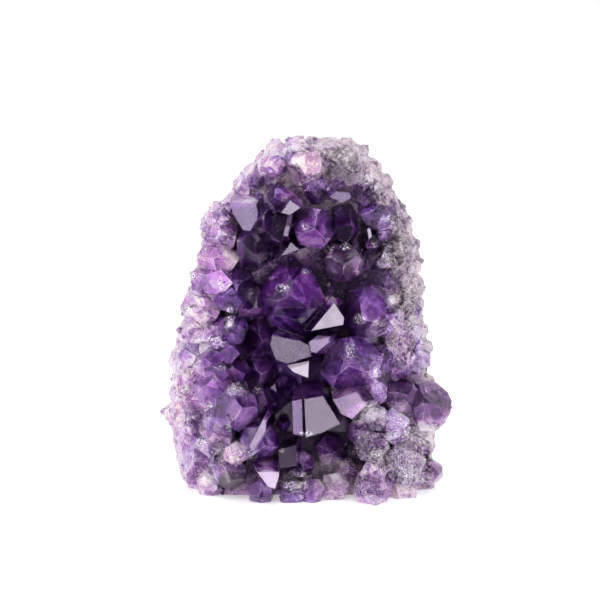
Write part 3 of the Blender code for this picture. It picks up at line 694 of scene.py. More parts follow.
@dataclass(frozen=True)
class RockFinish:
    """Grey-green volcanic rock with olive and rusty patches, and painted shade in its hollows."""

    name: str = "rind_rock"
    grey: Colour = (0.20, 0.20, 0.19)
    olive: Colour = (0.16, 0.17, 0.10)
    pale: Colour = (0.42, 0.40, 0.38)
    rust: Colour = (0.22, 0.13, 0.08)
    shade: Colour = (0.055, 0.058, 0.045)
    patch_size: float = 11 * MM
    rust_size: float = 7 * MM
    hollow_size: float = 2.6 * MM
    speck_size: float = 0.8 * MM
    grain_size: float = 1.1 * MM
    lump_size: float = 6 * MM

    def make(self) -> bpy.types.Material:
        """Builds the material.

        Returns:
            The material.
        """
        s = Shader(self.name)
        patches = s.cloud(self.patch_size, 5.0, 0.6)
        rusty = s.cloud(self.rust_size, 5.0, 0.7)
        hollows = s.cloud(self.hollow_size, 6.0, 0.75)
        speck = s.cloud(self.speck_size, 3.0, 0.7)
        grains = Socket(s, s.cells(self.grain_size).outputs["Distance"])
        colour = s.blend(patches.step(0.34, 0.66), self.olive, self.grey)
        colour = s.blend(rusty.step(0.58, 0.74) * 0.7, colour, self.rust)
        # Painted shade: the low parts of the hollows' relief darkened
        colour = s.blend((1.0 - hollows.step(0.34, 0.52)) * 0.75, colour, self.shade)
        colour = s.blend(speck.step(0.55, 0.72) * 0.6, colour, self.pale)
        rough = s.bump(s.cloud(self.lump_size, 6.0, 0.7), 2.4 * MM, 0.9)
        rough = s.bump(hollows, 0.9 * MM, 0.8, rough)
        rough = s.bump(grains, 0.4 * MM, 0.6, rough)
        sockets = {"Base Color": colour, "Roughness": 0.75 + speck * 0.2, "Normal": rough}
        return s.finish(s.principled(sockets))


@dataclass(frozen=True)
class FloorFinish:
    """A plain pale floor that glows a little, so that it stays white in soft light."""

    name: str = "pale_floor"
    colour: Colour = (0.88, 0.875, 0.875)
    grain: Colour = (0.85, 0.845, 0.845)
    grain_size: float = 3 * MM
    light: Colour = (1.0, 1.0, 1.0)
    glow: float = 0.36

    def make(self) -> bpy.types.Material:
        """Builds the material.

        Returns:
            The material.
        """
        s = Shader(self.name)
        colour = s.blend(s.cloud(self.grain_size).step(0.3, 0.7) * 0.1, self.colour, self.grain)
        sockets = {"Base Color": colour, "Roughness": 0.6}
        sockets |= {"Emission Color": self.light, "Emission Strength": self.glow}
        return s.finish(s.principled(sockets))


@dataclass(frozen=True)
class View:
    """The photograph's line of sight on the cluster, which also names places on its front."""

    tilt: float = math.radians(9.0)
    distance: float = 800 * MM
    across: float = -2.7 * MM
    up: float = 61.8 * MM
    foot_drop: float = 4.2 * MM
    frame_width: float = 200 * MM
    sensor: float = 36.0
    shine_rise: float = math.radians(26.0)

    @property
    def up_axis(self) -> Vector:
        """Up in the picture plane."""
        return Vector((0.0, math.sin(self.tilt), math.cos(self.tilt)))

    @property
    def towards(self) -> Vector:
        """From the cluster towards the viewer."""
        return Vector((0.0, -math.cos(self.tilt), math.sin(self.tilt)))

    @property
    def shine(self) -> Vector:
        """Where the large faces that shine at the viewer look."""
        return self.towards * math.cos(self.shine_rise) + self.up_axis * math.sin(self.shine_rise)

    @property
    def centre(self) -> Vector:
        """The point that the view is centred on."""
        return Vector((self.across, 0.0, 0.0)) + self.up_axis * self.up

    def spots(self, points: np.ndarray) -> tuple[np.ndarray, np.ndarray]:
        """Where the viewer sees points.

        Args:
            points: The points, one to a row, in metres.

        Returns:
            Millimetres to the right of the origin and above the front foot, in the picture plane.
        """
        away = points - np.array(self.centre)
        nearer = self.distance / (self.distance - away @ np.array(self.towards))
        across = self.across + away[:, 0] * nearer
        up = self.up + away @ np.array(self.up_axis) * nearer + self.foot_drop
        return across / MM, up / MM


@dataclass(frozen=True)
class Character:
    """What the quartz is like at a place: each value runs from 0 to 1.

    pale is how far it has faded, frost how broken it is, smoke how grey, rose how salmon, glow how much
    brighter, more saturated violet is painted where light shines through it, and crumb how densely small
    points cover it.
    """

    pale: float = 0.0
    frost: float = 0.0
    smoke: float = 0.0
    rose: float = 0.0
    glow: float = 0.0
    crumb: float = 0.0


# A patch ends at this share of its half size, and fades over this share of it
PATCH_REACH = 1.25
PATCH_FADE = 0.5


@dataclass(frozen=True)
class Patch:
    """A part of the cluster's front whose crystals have a character of their own, in millimetres."""

    across: float
    up: float
    half_width: float
    half_height: float
    character: Character

    def weight(self, across: np.ndarray, up: np.ndarray) -> np.ndarray:
        """How much places belong to the patch.

        Args:
            across: Millimetres to the right.
            up: Millimetres above the front foot.

        Returns:
            1 in the middle, falling to 0 a little beyond the edge.
        """
        away = np.hypot((across - self.across) / self.half_width, (up - self.up) / self.half_height)
        return np.clip((PATCH_REACH - away) / PATCH_FADE, 0.0, 1.0)


# Where the front is pale, dark and pale again, from left to right, at heights above the front foot
BAND_HEIGHTS = (0.0, 13.0, 23.0, 33.0, 49.0, 66.0, 83.0, 96.0, 103.0, 109.0, 116.0)
LEFT_PALE = (-40.0, -38.0, -38.0, -42.0, -38.0, -36.0, -36.0, -32.0, -26.0, -20.0, -4.0)
LEFT_DARK = (-10.0, -14.0, -18.0, -30.0, -24.0, -22.0, -23.0, -22.0, -16.0, -2.0, 0.0)
RIGHT_DARK = (-8.0, 10.0, 12.0, 14.0, 20.0, 25.0, 24.0, 20.0, 22.0, 0.0, 1.0)
RIGHT_PALE = (6.0, 20.0, 24.0, 30.0, 33.0, 32.0, 32.0, 31.0, 28.0, 14.0, 4.0)

PATCHES = (
    # Edge of the crown
    Patch(-27.7, 104.3, 7.3, 6.7, Character(pale=0.82, frost=0.2, rose=0.12, glow=0.2, crumb=0.35)),
    Patch(-20.7, 100.7, 4.7, 4.0, Character(pale=0.76, frost=0.15, glow=0.3, crumb=0.1)),
    Patch(0.3, 112.7, 7.3, 5.7, Character(pale=1.0, frost=0.05, rose=0.3, glow=0.2)),
    Patch(-5.0, 118.3, 6.7, 2.7, Character(pale=1.0, frost=0.3, rose=0.25, crumb=0.35)),
    Patch(-12.7, 110.7, 4.7, 4.7, Character(pale=0.8, frost=0.2, glow=0.75, crumb=0.25)),
    Patch(-18.7, 111.3, 2.7, 3.3, Character(pale=0.58, frost=0.2, glow=0.6, crumb=0.25)),
    Patch(-5.3, 108.3, 3.0, 2.3, Character(pale=-0.15, frost=0.2, smoke=0.8, crumb=0.2)),
    Patch(13.3, 112.7, 6.7, 6.0, Character(pale=0.84, frost=0.7, smoke=0.9, crumb=0.5)),
    Patch(
        25.7, 103.3, 5.0, 6.0,
        Character(pale=0.78, frost=0.6, smoke=0.65, rose=0.05, glow=0.1, crumb=0.45),
    ),
    Patch(2.3, 104.0, 6.0, 3.0, Character(pale=0.4, frost=0.3, smoke=0.1, glow=0.25, crumb=0.25)),
    # Left bank
    Patch(-31.7, 89.3, 6.0, 5.3, Character(pale=0.78, frost=0.2, rose=0.05, glow=0.5, crumb=0.18)),
    Patch(-33.3, 76.0, 8.0, 10.0, Character(pale=0.42, frost=0.05, rose=0.05, glow=1, crumb=0.12)),
    Patch(
        -40.0, 76.7, 2.3, 10.7,
        Character(pale=0.45, frost=0.15, smoke=0.05, rose=0.15, glow=0.25, crumb=0.4),
    ),
    Patch(-20.5, 93.0, 2.6, 4.6, Character(pale=0.35, smoke=0.7)),
    Patch(-24.7, 81.0, 3.6, 6.4, Character(pale=0.7, smoke=0.35, glow=0.1)),
    Patch(-25.0, 61.0, 4.0, 10.0, Character(pale=0.28, glow=0.6)),
    Patch(-26.3, 60.0, 2.4, 4.4, Character(pale=1.0, frost=0.5)),
    Patch(-30.7, 59.3, 3.0, 4.0, Character(pale=0.4, smoke=0.05, rose=0.05, glow=0.35)),
    Patch(-38.0, 60.3, 4.7, 4.3, Character(pale=0.82, frost=0.1, rose=0.12, glow=0.1, crumb=0.1)),
    Patch(
        -41.7, 52.7, 3.0, 4.7,
        Character(pale=0.42, frost=0.15, smoke=0.05, rose=0.15, glow=0.25, crumb=0.35),
    ),
    Patch(-32.0, 51.7, 4.7, 2.3, Character(pale=0.3, frost=0.35, glow=0.1, crumb=0.35)),
    Patch(-36.0, 48.7, 4.0, 5.3, Character(pale=0.92, frost=0.2, glow=0.4, crumb=0.1)),
    Patch(-31.7, 45.3, 5.0, 3.3, Character(pale=0.1, frost=0.05, glow=0.7)),
    Patch(-30.3, 37.3, 4.7, 5.7, Character(pale=0.42, glow=1)),
    Patch(-36.7, 34.0, 3.7, 4.3, Character(pale=0.6, frost=0.15, rose=0.1, glow=0.45, crumb=0.1)),
    Patch(
        -45.3, 41.0, 2.7, 6.0,
        Character(pale=0.88, frost=0.25, smoke=0.08, rose=0.2, glow=0.05, crumb=0.5),
    ),
    Patch(-44.3, 30.0, 3.3, 7.3, Character(pale=0.76, frost=0.25, smoke=0.05, rose=0.85, crumb=0.3)),
    Patch(
        -35.3, 26.0, 4.7, 3.3,
        Character(pale=0.34, frost=0.45, smoke=0.25, rose=0.1, glow=0.2, crumb=0.15),
    ),
    Patch(-33.3, 25.3, 2.0, 2.7, Character(pale=0.88, frost=0.1, glow=0.1)),
    Patch(-30.0, 24.7, 3.7, 3.0, Character(pale=0.42, frost=0.05, smoke=0.05, glow=0.35)),
    Patch(-20.3, 31.0, 6.0, 8.3, Character(pale=0.42, rose=0.1, glow=0.4)),
    Patch(-24.0, 36.0, 3.2, 2.6, Character(pale=1.0, frost=0.35, glow=0.05, crumb=0.1)),
    Patch(-23.7, 17.0, 4.0, 4.0, Character(pale=0.8, frost=0.3, glow=0.3)),
    Patch(-37.7, 14.0, 6.0, 7.3, Character(pale=0.56, frost=0.3, smoke=0.15, rose=0.1, glow=0.35)),
    Patch(-33.3, 6.7, 4.0, 2.3, Character(pale=1.0, frost=0.2, crumb=0.1)),
    Patch(-29.7, 15.3, 2.3, 4.3, Character(pale=0.46, frost=0.3, smoke=0.65, crumb=0.3)),
    Patch(-25.7, 5.7, 4.3, 2.7, Character(pale=0.02, frost=0.3, smoke=1.0)),
    Patch(-14.3, 17.0, 3.7, 6.7, Character(pale=0.48, glow=0.4)),
    # Dark middle
    Patch(2.3, 92.0, 7.3, 9.3, Character(pale=0.25, rose=0.05, glow=0.5)),
    Patch(12.0, 78.7, 6.0, 6.7, Character(pale=0.03, smoke=0.3, rose=0.05)),
    Patch(-6.0, 67.7, 9.3, 10.7, Character(pale=0.05, glow=0.45)),
    Patch(16.8, 77.0, 2.0, 3.0, Character(pale=0.62, smoke=0.1)),
    Patch(8.5, 77.5, 3.2, 3.8, Character(pale=0.25, smoke=0.7)),
    Patch(7.5, 67.5, 2.2, 3.5, Character(pale=0.66, smoke=0.25, glow=0.1)),
    Patch(-10.0, 74.5, 5.0, 3.0, Character(pale=0.3, glow=0.2)),
    Patch(4.0, 51.0, 3.3, 2.7, Character(pale=0.25, frost=0.05, glow=0.1)),
    Patch(12.3, 44.3, 8.7, 10.0, Character(pale=0.44, frost=0.05, smoke=0.15, glow=0.6)),
    Patch(19.0, 62.0, 7.3, 10.0, Character(pale=0.14, rose=0.05, glow=0.45)),
    Patch(23.3, 55.3, 4.7, 4.0, Character(pale=0.9, frost=0.05, smoke=0.5)),
    Patch(14.0, 30.7, 5.7, 4.3, Character(pale=0.3, frost=0.15, rose=0.2, glow=0.1)),
    Patch(-7.0, 14.0, 3.0, 3.7, Character(pale=0.1, smoke=0.8)),
    Patch(-1.0, 13.7, 2.7, 2.7, Character(pale=0.52, smoke=0.3, glow=0.35)),
    # Right bank
    Patch(21.7, 95.0, 4.0, 3.0, Character(pale=0.05, glow=0.3)),
    Patch(26.3, 90.7, 4.0, 5.0, Character(pale=0.68, frost=0.2, smoke=0.1, rose=0.1, glow=0.2, crumb=0.2)),
    Patch(26.7, 81.0, 2.3, 4.7, Character(pale=0.7, frost=0.9, smoke=0.1, glow=0.1, crumb=0.35)),
    Patch(33.3, 78.7, 5.6, 26.0, Character(pale=0.6, frost=0.6, smoke=0.95, rose=0.08, crumb=0.45)),
    Patch(28.7, 67.7, 2.6, 4.6, Character(pale=1.0, frost=0.2, smoke=0.1, rose=0.15)),
    Patch(29.7, 54.0, 5.3, 8.7, Character(pale=0.6, frost=0.85, rose=0.05, glow=0.45, crumb=0.3)),
    Patch(36.7, 57.7, 3.0, 5.3, Character(pale=0.8, frost=0.6, smoke=0.05, glow=0.55, crumb=0.25)),
    Patch(23.0, 40.0, 3.3, 5.7, Character(pale=0.66, frost=0.3, smoke=0.12, glow=0.5, crumb=0.15)),
    Patch(37.3, 34.3, 10.0, 9.0, Character(pale=0.14, smoke=0.2, rose=0.1, glow=0.15)),
    Patch(19.0, 28.0, 6.0, 4.0, Character(pale=1.15, frost=0.6, smoke=0.05, crumb=0.1)),
    Patch(30.0, 26.7, 4.7, 6.0, Character(pale=0.95, frost=0.6, rose=0.05, glow=0.85)),
    Patch(21.3, 21.7, 4.7, 3.7, Character(pale=0.3, frost=0.6, smoke=0.55, glow=0.05)),
    Patch(38.5, 20.6, 6.2, 4.4, Character(pale=1.0, smoke=0.15, rose=0.05)),
    Patch(32.7, 12.7, 8.0, 8.0, Character(pale=0.72, frost=0.8, smoke=0.3, rose=0.05, glow=0.2)),
    Patch(43.3, 11.7, 3.0, 4.7, Character(pale=0.55, frost=0.2, smoke=0.05, rose=0.1)),
    Patch(16.3, 15.3, 4.3, 4.3, Character(pale=0.3, frost=0.6, smoke=0.75)),
    Patch(23.3, 13.7, 3.3, 3.3, Character(pale=0.75, frost=1, smoke=0.45, crumb=0.1)),
    Patch(20.0, 6.3, 5.3, 6.0, Character(pale=0.52, frost=0.4, smoke=0.2, glow=0.15)),
    # Toes
    Patch(-13.3, 5.7, 3.7, 4.0, Character(pale=0.86, frost=0.1, rose=0.1)),
    Patch(-4.3, 6.0, 5.0, 4.0, Character(pale=1.0, frost=0.9, smoke=0.1, glow=0.1, crumb=0.35)),
    Patch(6.7, 9.0, 6.0, 5.7, Character(pale=0.76, frost=0.1, smoke=0.55, glow=0.1, crumb=0.22)),
)


@dataclass(frozen=True)
class PaintedHighlight:
    """The painted highlight on one of the faces that shine at the viewer: a pale colour painted over the
    body where the face mirrors the key light, at a place in millimetres.

    highlight_paint is how white it is, blush how lilac, and dull how much it blurs the shine.
    """

    across: float
    up: float
    highlight_paint: float
    blush: float = 0.0
    dull: float = 0.0


# The painted highlights, one for each face that mirrors the key light
PAINTED_HIGHLIGHTS = (
    PaintedHighlight(-20.5, 93.9, 0.0, 0.3, 0.06),
    PaintedHighlight(-5.9, 96.3, 0.30, 0.1, 0.03),
    PaintedHighlight(-6.8, 90.9, 0.18, 0.4, 0.04),
    PaintedHighlight(-5.9, 82.9, 0.15, 0.1, 0.06),
    PaintedHighlight(20.5, 88.4, 0.45),
    PaintedHighlight(11.2, 100.5, 0.05, 0.0, 0.10),
    PaintedHighlight(25.1, 78.7, 0.24),
    PaintedHighlight(8.4, 59.6, 0.50, 0.15),
    PaintedHighlight(-6.1, 49.4, 0.0, 0.2, 0.14),
    PaintedHighlight(-2.9, 43.0, 0.75, 0.05),
    PaintedHighlight(3.5, 51.5, 0.30, 0.8, 0.05),
    PaintedHighlight(13.9, 30.7, 0.15, 0.6, 0.06),
    PaintedHighlight(-3.5, 26.8, 0.02, 0.1, 0.06),
    PaintedHighlight(3.6, 26.7, 0.16, 0.1, 0.05),
    PaintedHighlight(-16.4, 21.6, 0.35, 0.4, 0.02),
    PaintedHighlight(-6.8, 13.6, 0.05, 0.2, 0.6),
    PaintedHighlight(-12.1, 6.3, 0.62, 0.3),
)
PAINTED_HIGHLIGHT_NAMES = ("highlight_paint", "blush", "dull")


@dataclass(frozen=True)
class Glint:
    """A painted glint, curled white and dark lines where a small break in a crystal catches light, in
    millimetres.
    """

    across: float
    up: float
    half_width: float
    half_height: float


# The places of painted glints
GLINTS = (
    Glint(-8.3, 70.0, 2.6, 1.6),
    Glint(17.3, 59.7, 2.6, 2.2),
    Glint(7.0, 83.3, 1.8, 2.0),
    Glint(12.5, 83.8, 2.0, 1.4),
    Glint(7.1, 71.2, 1.0, 0.7),
    Glint(-0.7, 75.3, 1.8, 1.0),
    Glint(14.0, 49.3, 2.0, 3.4),
    Glint(7.3, 36.0, 2.6, 1.3),
    Glint(-1.0, 90.3, 1.4, 1.4),
    Glint(-26.3, 60.0, 1.8, 3.8),
    Glint(-32.0, 52.5, 5.0, 2.0),
    Glint(-24.0, 36.5, 2.6, 2.4),
    Glint(-17.0, 36.0, 1.6, 1.6),
    Glint(26.3, 82.0, 2.0, 4.4),
    Glint(28.0, 50.5, 1.6, 1.6),
    Glint(-8.7, 16.0, 1.2, 1.0),
    Glint(23.3, 13.7, 3.6, 3.0),
    Glint(33.0, 8.0, 6.0, 3.4),
    Glint(21.0, 29.0, 4.6, 3.4),
    Glint(-5.0, 7.0, 2.4, 1.8),
    Glint(30.0, 28.0, 2.2, 2.6),
    Glint(22.0, 85.5, 1.2, 2.4),
    Glint(-38.5, 74.0, 1.6, 2.4),
    Glint(-34.5, 82.5, 1.6, 1.2),
    Glint(-29.0, 71.5, 1.2, 3.0),
    Glint(-36.5, 46.5, 1.4, 2.8),
    Glint(-28.5, 43.5, 1.4, 1.2),
    Glint(-33.0, 31.0, 1.6, 1.2),
    Glint(-26.5, 23.5, 1.0, 2.0),
    Glint(-41.0, 36.0, 1.4, 1.8),
    Glint(27.5, 93.0, 1.4, 2.2),
    Glint(22.5, 41.5, 1.2, 2.4),
    Glint(6.5, 10.5, 3.0, 1.4),
    Glint(-30.5, 92.0, 2.2, 1.6),
    Glint(19.0, 106.0, 3.0, 3.0),
    Glint(-2.0, 116.0, 3.0, 1.4),
    Glint(-39.5, 63.0, 2.2, 2.2),
    Glint(-35.5, 19.0, 2.6, 2.6),
    Glint(-18.5, 14.5, 2.0, 2.0),
    Glint(35.0, 57.0, 2.0, 3.0),
    Glint(44.0, 13.0, 2.0, 2.4),
    Glint(-0.5, 21.5, 3.0, 0.9),
)

CHARACTER_NAMES = tuple(part.name for part in fields(Character))

# What the quartz is like where a bank has faded fully, and what its sides and back have besides
BANK = Character(pale=0.76, frost=0.3, rose=0.1, glow=0.25, crumb=0.16)
SIDE_CRUMB = 0.24
LEFT_SMOKE = 0.1
RIGHT_SMOKE = 0.6
SIDE_START = -6 * MM
SIDE_FADE = 8 * MM


def characters_at(view: View, points: np.ndarray) -> np.ndarray:
    """The character of the quartz at places on the cluster.

    Args:
        view: The line of sight that the places are named from.
        points: The places, one to a row, in metres.

    Returns:
        One row for each place, in the order of CHARACTER_NAMES.
    """
    across, up = view.spots(points)
    edges = [np.interp(up, BAND_HEIGHTS, e) for e in (LEFT_PALE, LEFT_DARK, RIGHT_DARK, RIGHT_PALE)]
    from_left = (edges[1] - across) / np.maximum(edges[1] - edges[0], 1.0)
    from_right = (across - edges[2]) / np.maximum(edges[3] - edges[2], 1.0)
    pale = np.clip(np.maximum(from_left, from_right), 0.0, 1.0)
    behind = np.clip((points[:, 1] - SIDE_START) / SIDE_FADE, 0.0, 1.0)
    values = np.outer(np.maximum(pale, behind), astuple(BANK))
    values[:, CHARACTER_NAMES.index("smoke")] = behind * np.where(across > 0, RIGHT_SMOKE, LEFT_SMOKE)
    values[:, CHARACTER_NAMES.index("crumb")] += SIDE_CRUMB * behind
    for patch in PATCHES:
        share = patch.weight(across, up)[:, None] * (1.0 - behind[:, None])
        values = values * (1 - share) + np.array(astuple(patch.character)) * share
    return values


def linked_object(name: str, mesh: bpy.types.Mesh) -> bpy.types.Object:
    """Puts a mesh in the scene under a name.

    Args:
        name: The object's name.
        mesh: The mesh.

    Returns:
        The object.
    """
    made = bpy.data.objects.new(name, mesh)
    bpy.context.scene.collection.objects.link(made)
    return made


# Corners closer than this are one, and faces that bend less than this are one facet
WELD = 0.0005 * MM
FACET_BEND = math.radians(0.7)


def solid_of(node: str) -> bmesh.types.BMesh:
    """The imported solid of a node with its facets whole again.

    Args:
        node: The node's name.

    Returns:
        A closed bmesh, one face to each flat facet.
    """
    bm = bmesh.new()
    bm.from_mesh(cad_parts[node].data)
    bmesh.ops.remove_doubles(bm, verts=bm.verts, dist=WELD)
    for layer in list(bm.loops.layers.uv):
        bm.loops.layers.uv.remove(layer)
    bmesh.ops.dissolve_limit(bm, angle_limit=FACET_BEND, verts=bm.verts, edges=bm.edges)
    bm.normal_update()
    return bm


def refine(bm: bmesh.types.BMesh, wanted: Callable[[bmesh.types.BMEdge], float], rounds: int) -> None:
    """Splits long edges until each is as short as it should be.

    Args:
        bm: The mesh, which is changed.
        wanted: Gives the longest that an edge may be.
        rounds: The most rounds of splitting.
    """
    bmesh.ops.triangulate(bm, faces=bm.faces)
    for _ in range(rounds):
        long = [edge for edge in bm.edges if edge.calc_length() > wanted(edge)]
        if not long:
            return
        bmesh.ops.subdivide_edges(bm, edges=long, cuts=1)
        bmesh.ops.triangulate(bm, faces=[face for face in bm.faces if len(face.verts) > 3])
        drop_twins(bm)


def drop_twins(bm: bmesh.types.BMesh) -> None:
    """Removes the faces that lie on each other in pairs, which the triangulating of slivers leaves.

    Args:
        bm: The mesh, which is changed.
    """
    groups: dict[frozenset[bmesh.types.BMVert], list[bmesh.types.BMFace]] = {}
    for face in bm.faces:
        groups.setdefault(frozenset(face.verts), []).append(face)
    spare = [face for group in groups.values() for face in group[: len(group) // 2 * 2]]
    bmesh.ops.delete(bm, geom=spare, context="FACES")


@dataclass(frozen=True)
class Corners:
    """The face corners of a mesh.

    points are the places of its vertices. The others have one row for each corner: its vertex, its
    face and its own place.
    """

    points: np.ndarray
    vert: np.ndarray
    face: np.ndarray
    places: np.ndarray


def corners_of(mesh: bpy.types.Mesh) -> Corners:
    """Reads the face corners of a mesh.

    Args:
        mesh: The mesh.

    Returns:
        Its corners.
    """
    flat = np.zeros(len(mesh.vertices) * 3, np.float32)
    mesh.vertices.foreach_get("co", flat)
    points = flat.reshape(-1, 3).astype(np.float64)
    vert = np.zeros(len(mesh.loops), np.int32)
    mesh.loops.foreach_get("vertex_index", vert)
    totals = np.zeros(len(mesh.polygons), np.int32)
    mesh.polygons.foreach_get("loop_total", totals)
    return Corners(points, vert, np.repeat(np.arange(len(totals)), totals), points[vert])


def store_numbers(mesh: bpy.types.Mesh, name: str, values: np.ndarray) -> None:
    """Stores one number for each face corner of a mesh.

    Args:
        mesh: The mesh, which is changed.
        name: The attribute's name.
        values: The numbers, one for each corner.
    """
    layer = mesh.attributes.new(name, "FLOAT", "CORNER")
    layer.data.foreach_set("value", np.asarray(values, np.float32))


def place_glints(view: View, mesh: bpy.types.Mesh, corners: Corners) -> None:
    """Stores how far each corner is from the glint nearest to its face, in parts of the glint's size.

    Args:
        view: The line of sight that the glints are named from.
        mesh: The mesh, which is changed.
        corners: Its corners.
    """
    sides = view.spots(corners.places)
    table = np.array([astuple(glint) for glint in GLINTS])
    counts = np.bincount(corners.face)
    middle = [np.bincount(corners.face, side) / counts for side in sides]
    away = [(middle[k][:, None] - table[:, k]) / table[:, k + 2] for k in range(2)]
    nearest = np.argmin(np.hypot(*away), axis=1)[corners.face]
    offset = np.zeros((len(corners.vert), 3), np.float32)
    for k, side in enumerate(sides):
        offset[:, k] = (side - table[nearest, k]) / table[nearest, k + 2]
    layer = mesh.attributes.new("glint", "FLOAT_VECTOR", "CORNER")
    layer.data.foreach_set("vector", offset.ravel())


@dataclass
class GrownCrystal:
    """One crystal as it shows on the crust: low and high are where it starts and ends along its axis."""

    number: int
    faces: list[bmesh.types.BMFace]
    axis: Vector
    middle: Vector
    low: float
    high: float
    character: Character
    back: bool
    tone: float


@dataclass
class Facets:
    """What the facets are like, one value or row for each.

    facet is a random tone, mirror is 1 on the large faces that shine at the viewer, which have a painted
    highlight too, and prism is 1 on a crystal's sides. The first four numbers of a fade give a value that
    rises across the facet, and the last three the way that its fine hatching runs.
    """

    numbers: dict[str, np.ndarray]
    fades: np.ndarray


@dataclass
class AmethystCrust:
    """The crust of intergrown crystals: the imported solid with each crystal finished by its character."""

    view: View
    finish: AmethystFinish
    frost_edge: float = 0.62 * MM
    frost_depth: float = 0.32 * MM
    frost_tilt: float = 0.45
    frost_grain: float = 2.1 * MM
    fine_size: float = 0.42
    fine_share: float = 0.35
    frost_sink: float = 0.25
    scatter: float = 977.0
    frost_limit: float = 0.35
    clear_edge: float = 1.8 * MM
    rounds: int = 6
    sky_rays: int = 16
    sky_reach: float = 14 * MM
    sky_lift: float = 0.15 * MM
    convex_limit: float = math.radians(-0.5)
    shine_limit: float = math.cos(math.radians(3.0))
    prism_limit: float = 0.35
    drift: float = 0.72
    fading: float = 1.6
    back_depth: float = 3 * MM
    back_slope: float = 0.3
    foot_height: float = 0.3 * MM
    foot_slope: float = -0.9
    seed: int = 5

    def build(self) -> bpy.types.Object:
        """Builds the crust.

        Returns:
            The crust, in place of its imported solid.
        """
        bm = solid_of(CRYSTALS_NODE)
        bm.faces.layers.int.new("facet_number")
        own = bm.faces.layers.int.new("crystal")
        crystals = self.find_crystals(bm)
        LOG.info("found %d crystals on the crust", len(crystals))
        for crystal in crystals:
            for face in crystal.faces:
                face[own] = crystal.number
        facets = self.describe_facets(bm, crystals)
        self.roughen(bm, crystals, own)
        sky = self.openness(bm)
        mesh = bpy.data.meshes.new("amethyst_crust")
        bm.to_mesh(mesh)
        bm.free()
        self.paint(mesh, crystals, facets, sky)
        mesh.materials.append(self.finish.make())
        crust = linked_object("amethyst_crust", mesh)
        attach(crust, "root")
        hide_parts(CRYSTALS_NODE)
        return crust

    def find_crystals(self, bm: bmesh.types.BMesh) -> list[GrownCrystal]:
        """Groups the faces that no valley parts: each group is one crystal.

        Args:
            bm: The crust.

        Returns:
            The crystals.
        """
        rng = random.Random(self.seed)
        left = set(bm.faces)
        order = sorted(bm.faces, key=lambda face: face.index)
        crystals = []
        for first in order:
            if first not in left:
                continue
            left.discard(first)
            back = self.is_back(first)
            group, waiting = [], [first]
            while waiting:
                face = waiting.pop()
                group.append(face)
                for edge in face.edges:
                    if len(edge.link_faces) != 2 or edge.calc_face_angle_signed() < self.convex_limit:
                        continue
                    for near in edge.link_faces:
                        if near in left and self.is_back(near) == back:
                            left.discard(near)
                            waiting.append(near)
            crystals.append(self.describe(len(crystals), group, back, rng))
        return crystals

    def is_back(self, face: bmesh.types.BMFace) -> bool:
        """Whether a face lies against the rock or on the sawn foot.

        Args:
            face: The face.

        Returns:
            Whether it does.
        """
        middle = face.calc_center_median()
        against_rock = face.normal.y > self.back_slope and middle.y > self.back_depth
        return against_rock or (face.normal.z < self.foot_slope and middle.z < self.foot_height)

    def describe(
        self, number: int, group: list[bmesh.types.BMFace], back: bool, rng: random.Random
    ) -> GrownCrystal:
        """Measures one crystal.

        Args:
            number: Its number.
            group: Its faces.
            back: Whether they are the crust's back.
            rng: Where its tone is drawn from.

        Returns:
            The crystal.
        """
        area = sum(face.calc_area() for face in group) or 1.0
        middle = sum((face.calc_center_median() * face.calc_area() for face in group), Vector()) / area
        axis = sum((face.normal * face.calc_area() for face in group), Vector())
        axis = axis.normalized() if axis.length > 0 else Vector((0.0, -1.0, 0.0))
        reach = [vert.co.dot(axis) for face in group for vert in face.verts]
        character = Character(*characters_at(self.view, np.array([middle]))[0])
        ends = min(reach), max(reach)
        return GrownCrystal(number, group, axis, middle, *ends, character, back, rng.random())

    def roughen(
        self, bm: bmesh.types.BMesh, crystals: list[GrownCrystal], own: bmesh.types.BMLayerItem
    ) -> None:
        """Breaks the faces of the frosted crystals into small fractured ones.

        Args:
            bm: The crust, which is changed.
            crystals: Its crystals.
            own: The layer that holds each face's crystal.
        """
        frosty = [0.0 if c.back else c.character.frost for c in crystals]

        def wanted(edge: bmesh.types.BMEdge) -> float:
            """The longest that an edge may be.

            Args:
                edge: The edge.

            Returns:
                A length in metres.
            """
            frost = max(frosty[face[own]] for face in edge.link_faces)
            if all(crystals[face[own]].back for face in edge.link_faces):
                return math.inf
            return self.frost_edge if frost > self.frost_limit else self.clear_edge

        refine(bm, wanted, self.rounds)
        bm.normal_update()
        moves = []
        for vert in bm.verts:
            frost = min(frosty[face[own]] for face in vert.link_faces)
            if frost > self.frost_limit:
                moves.append((vert, vert.normal * frost * self.chip(vert.co)))
        for vert, move in moves:
            vert.co += move
            vert.co.z = max(vert.co.z, 0.0)

    def chip(self, point: Vector) -> float:
        """How far a broken surface lies in front of the whole one at a point: flat chips, each tilted.

        Args:
            point: The point.

        Returns:
            The distance, in metres.
        """
        total = 0.0
        for size, share in ((1.0, 1.0), (self.fine_size, self.fine_share)):
            grain = size * self.frost_grain
            centre = noise.voronoi(point / grain)[1][0] * grain
            draw = noise.noise_vector(centre * self.scatter + Vector((3.1, 5.7, 1.3)))
            slope = (point - centre).dot(draw) * 2.0 * self.frost_tilt
            total += share * (slope + self.frost_depth * (draw.x - self.frost_sink))
        return total

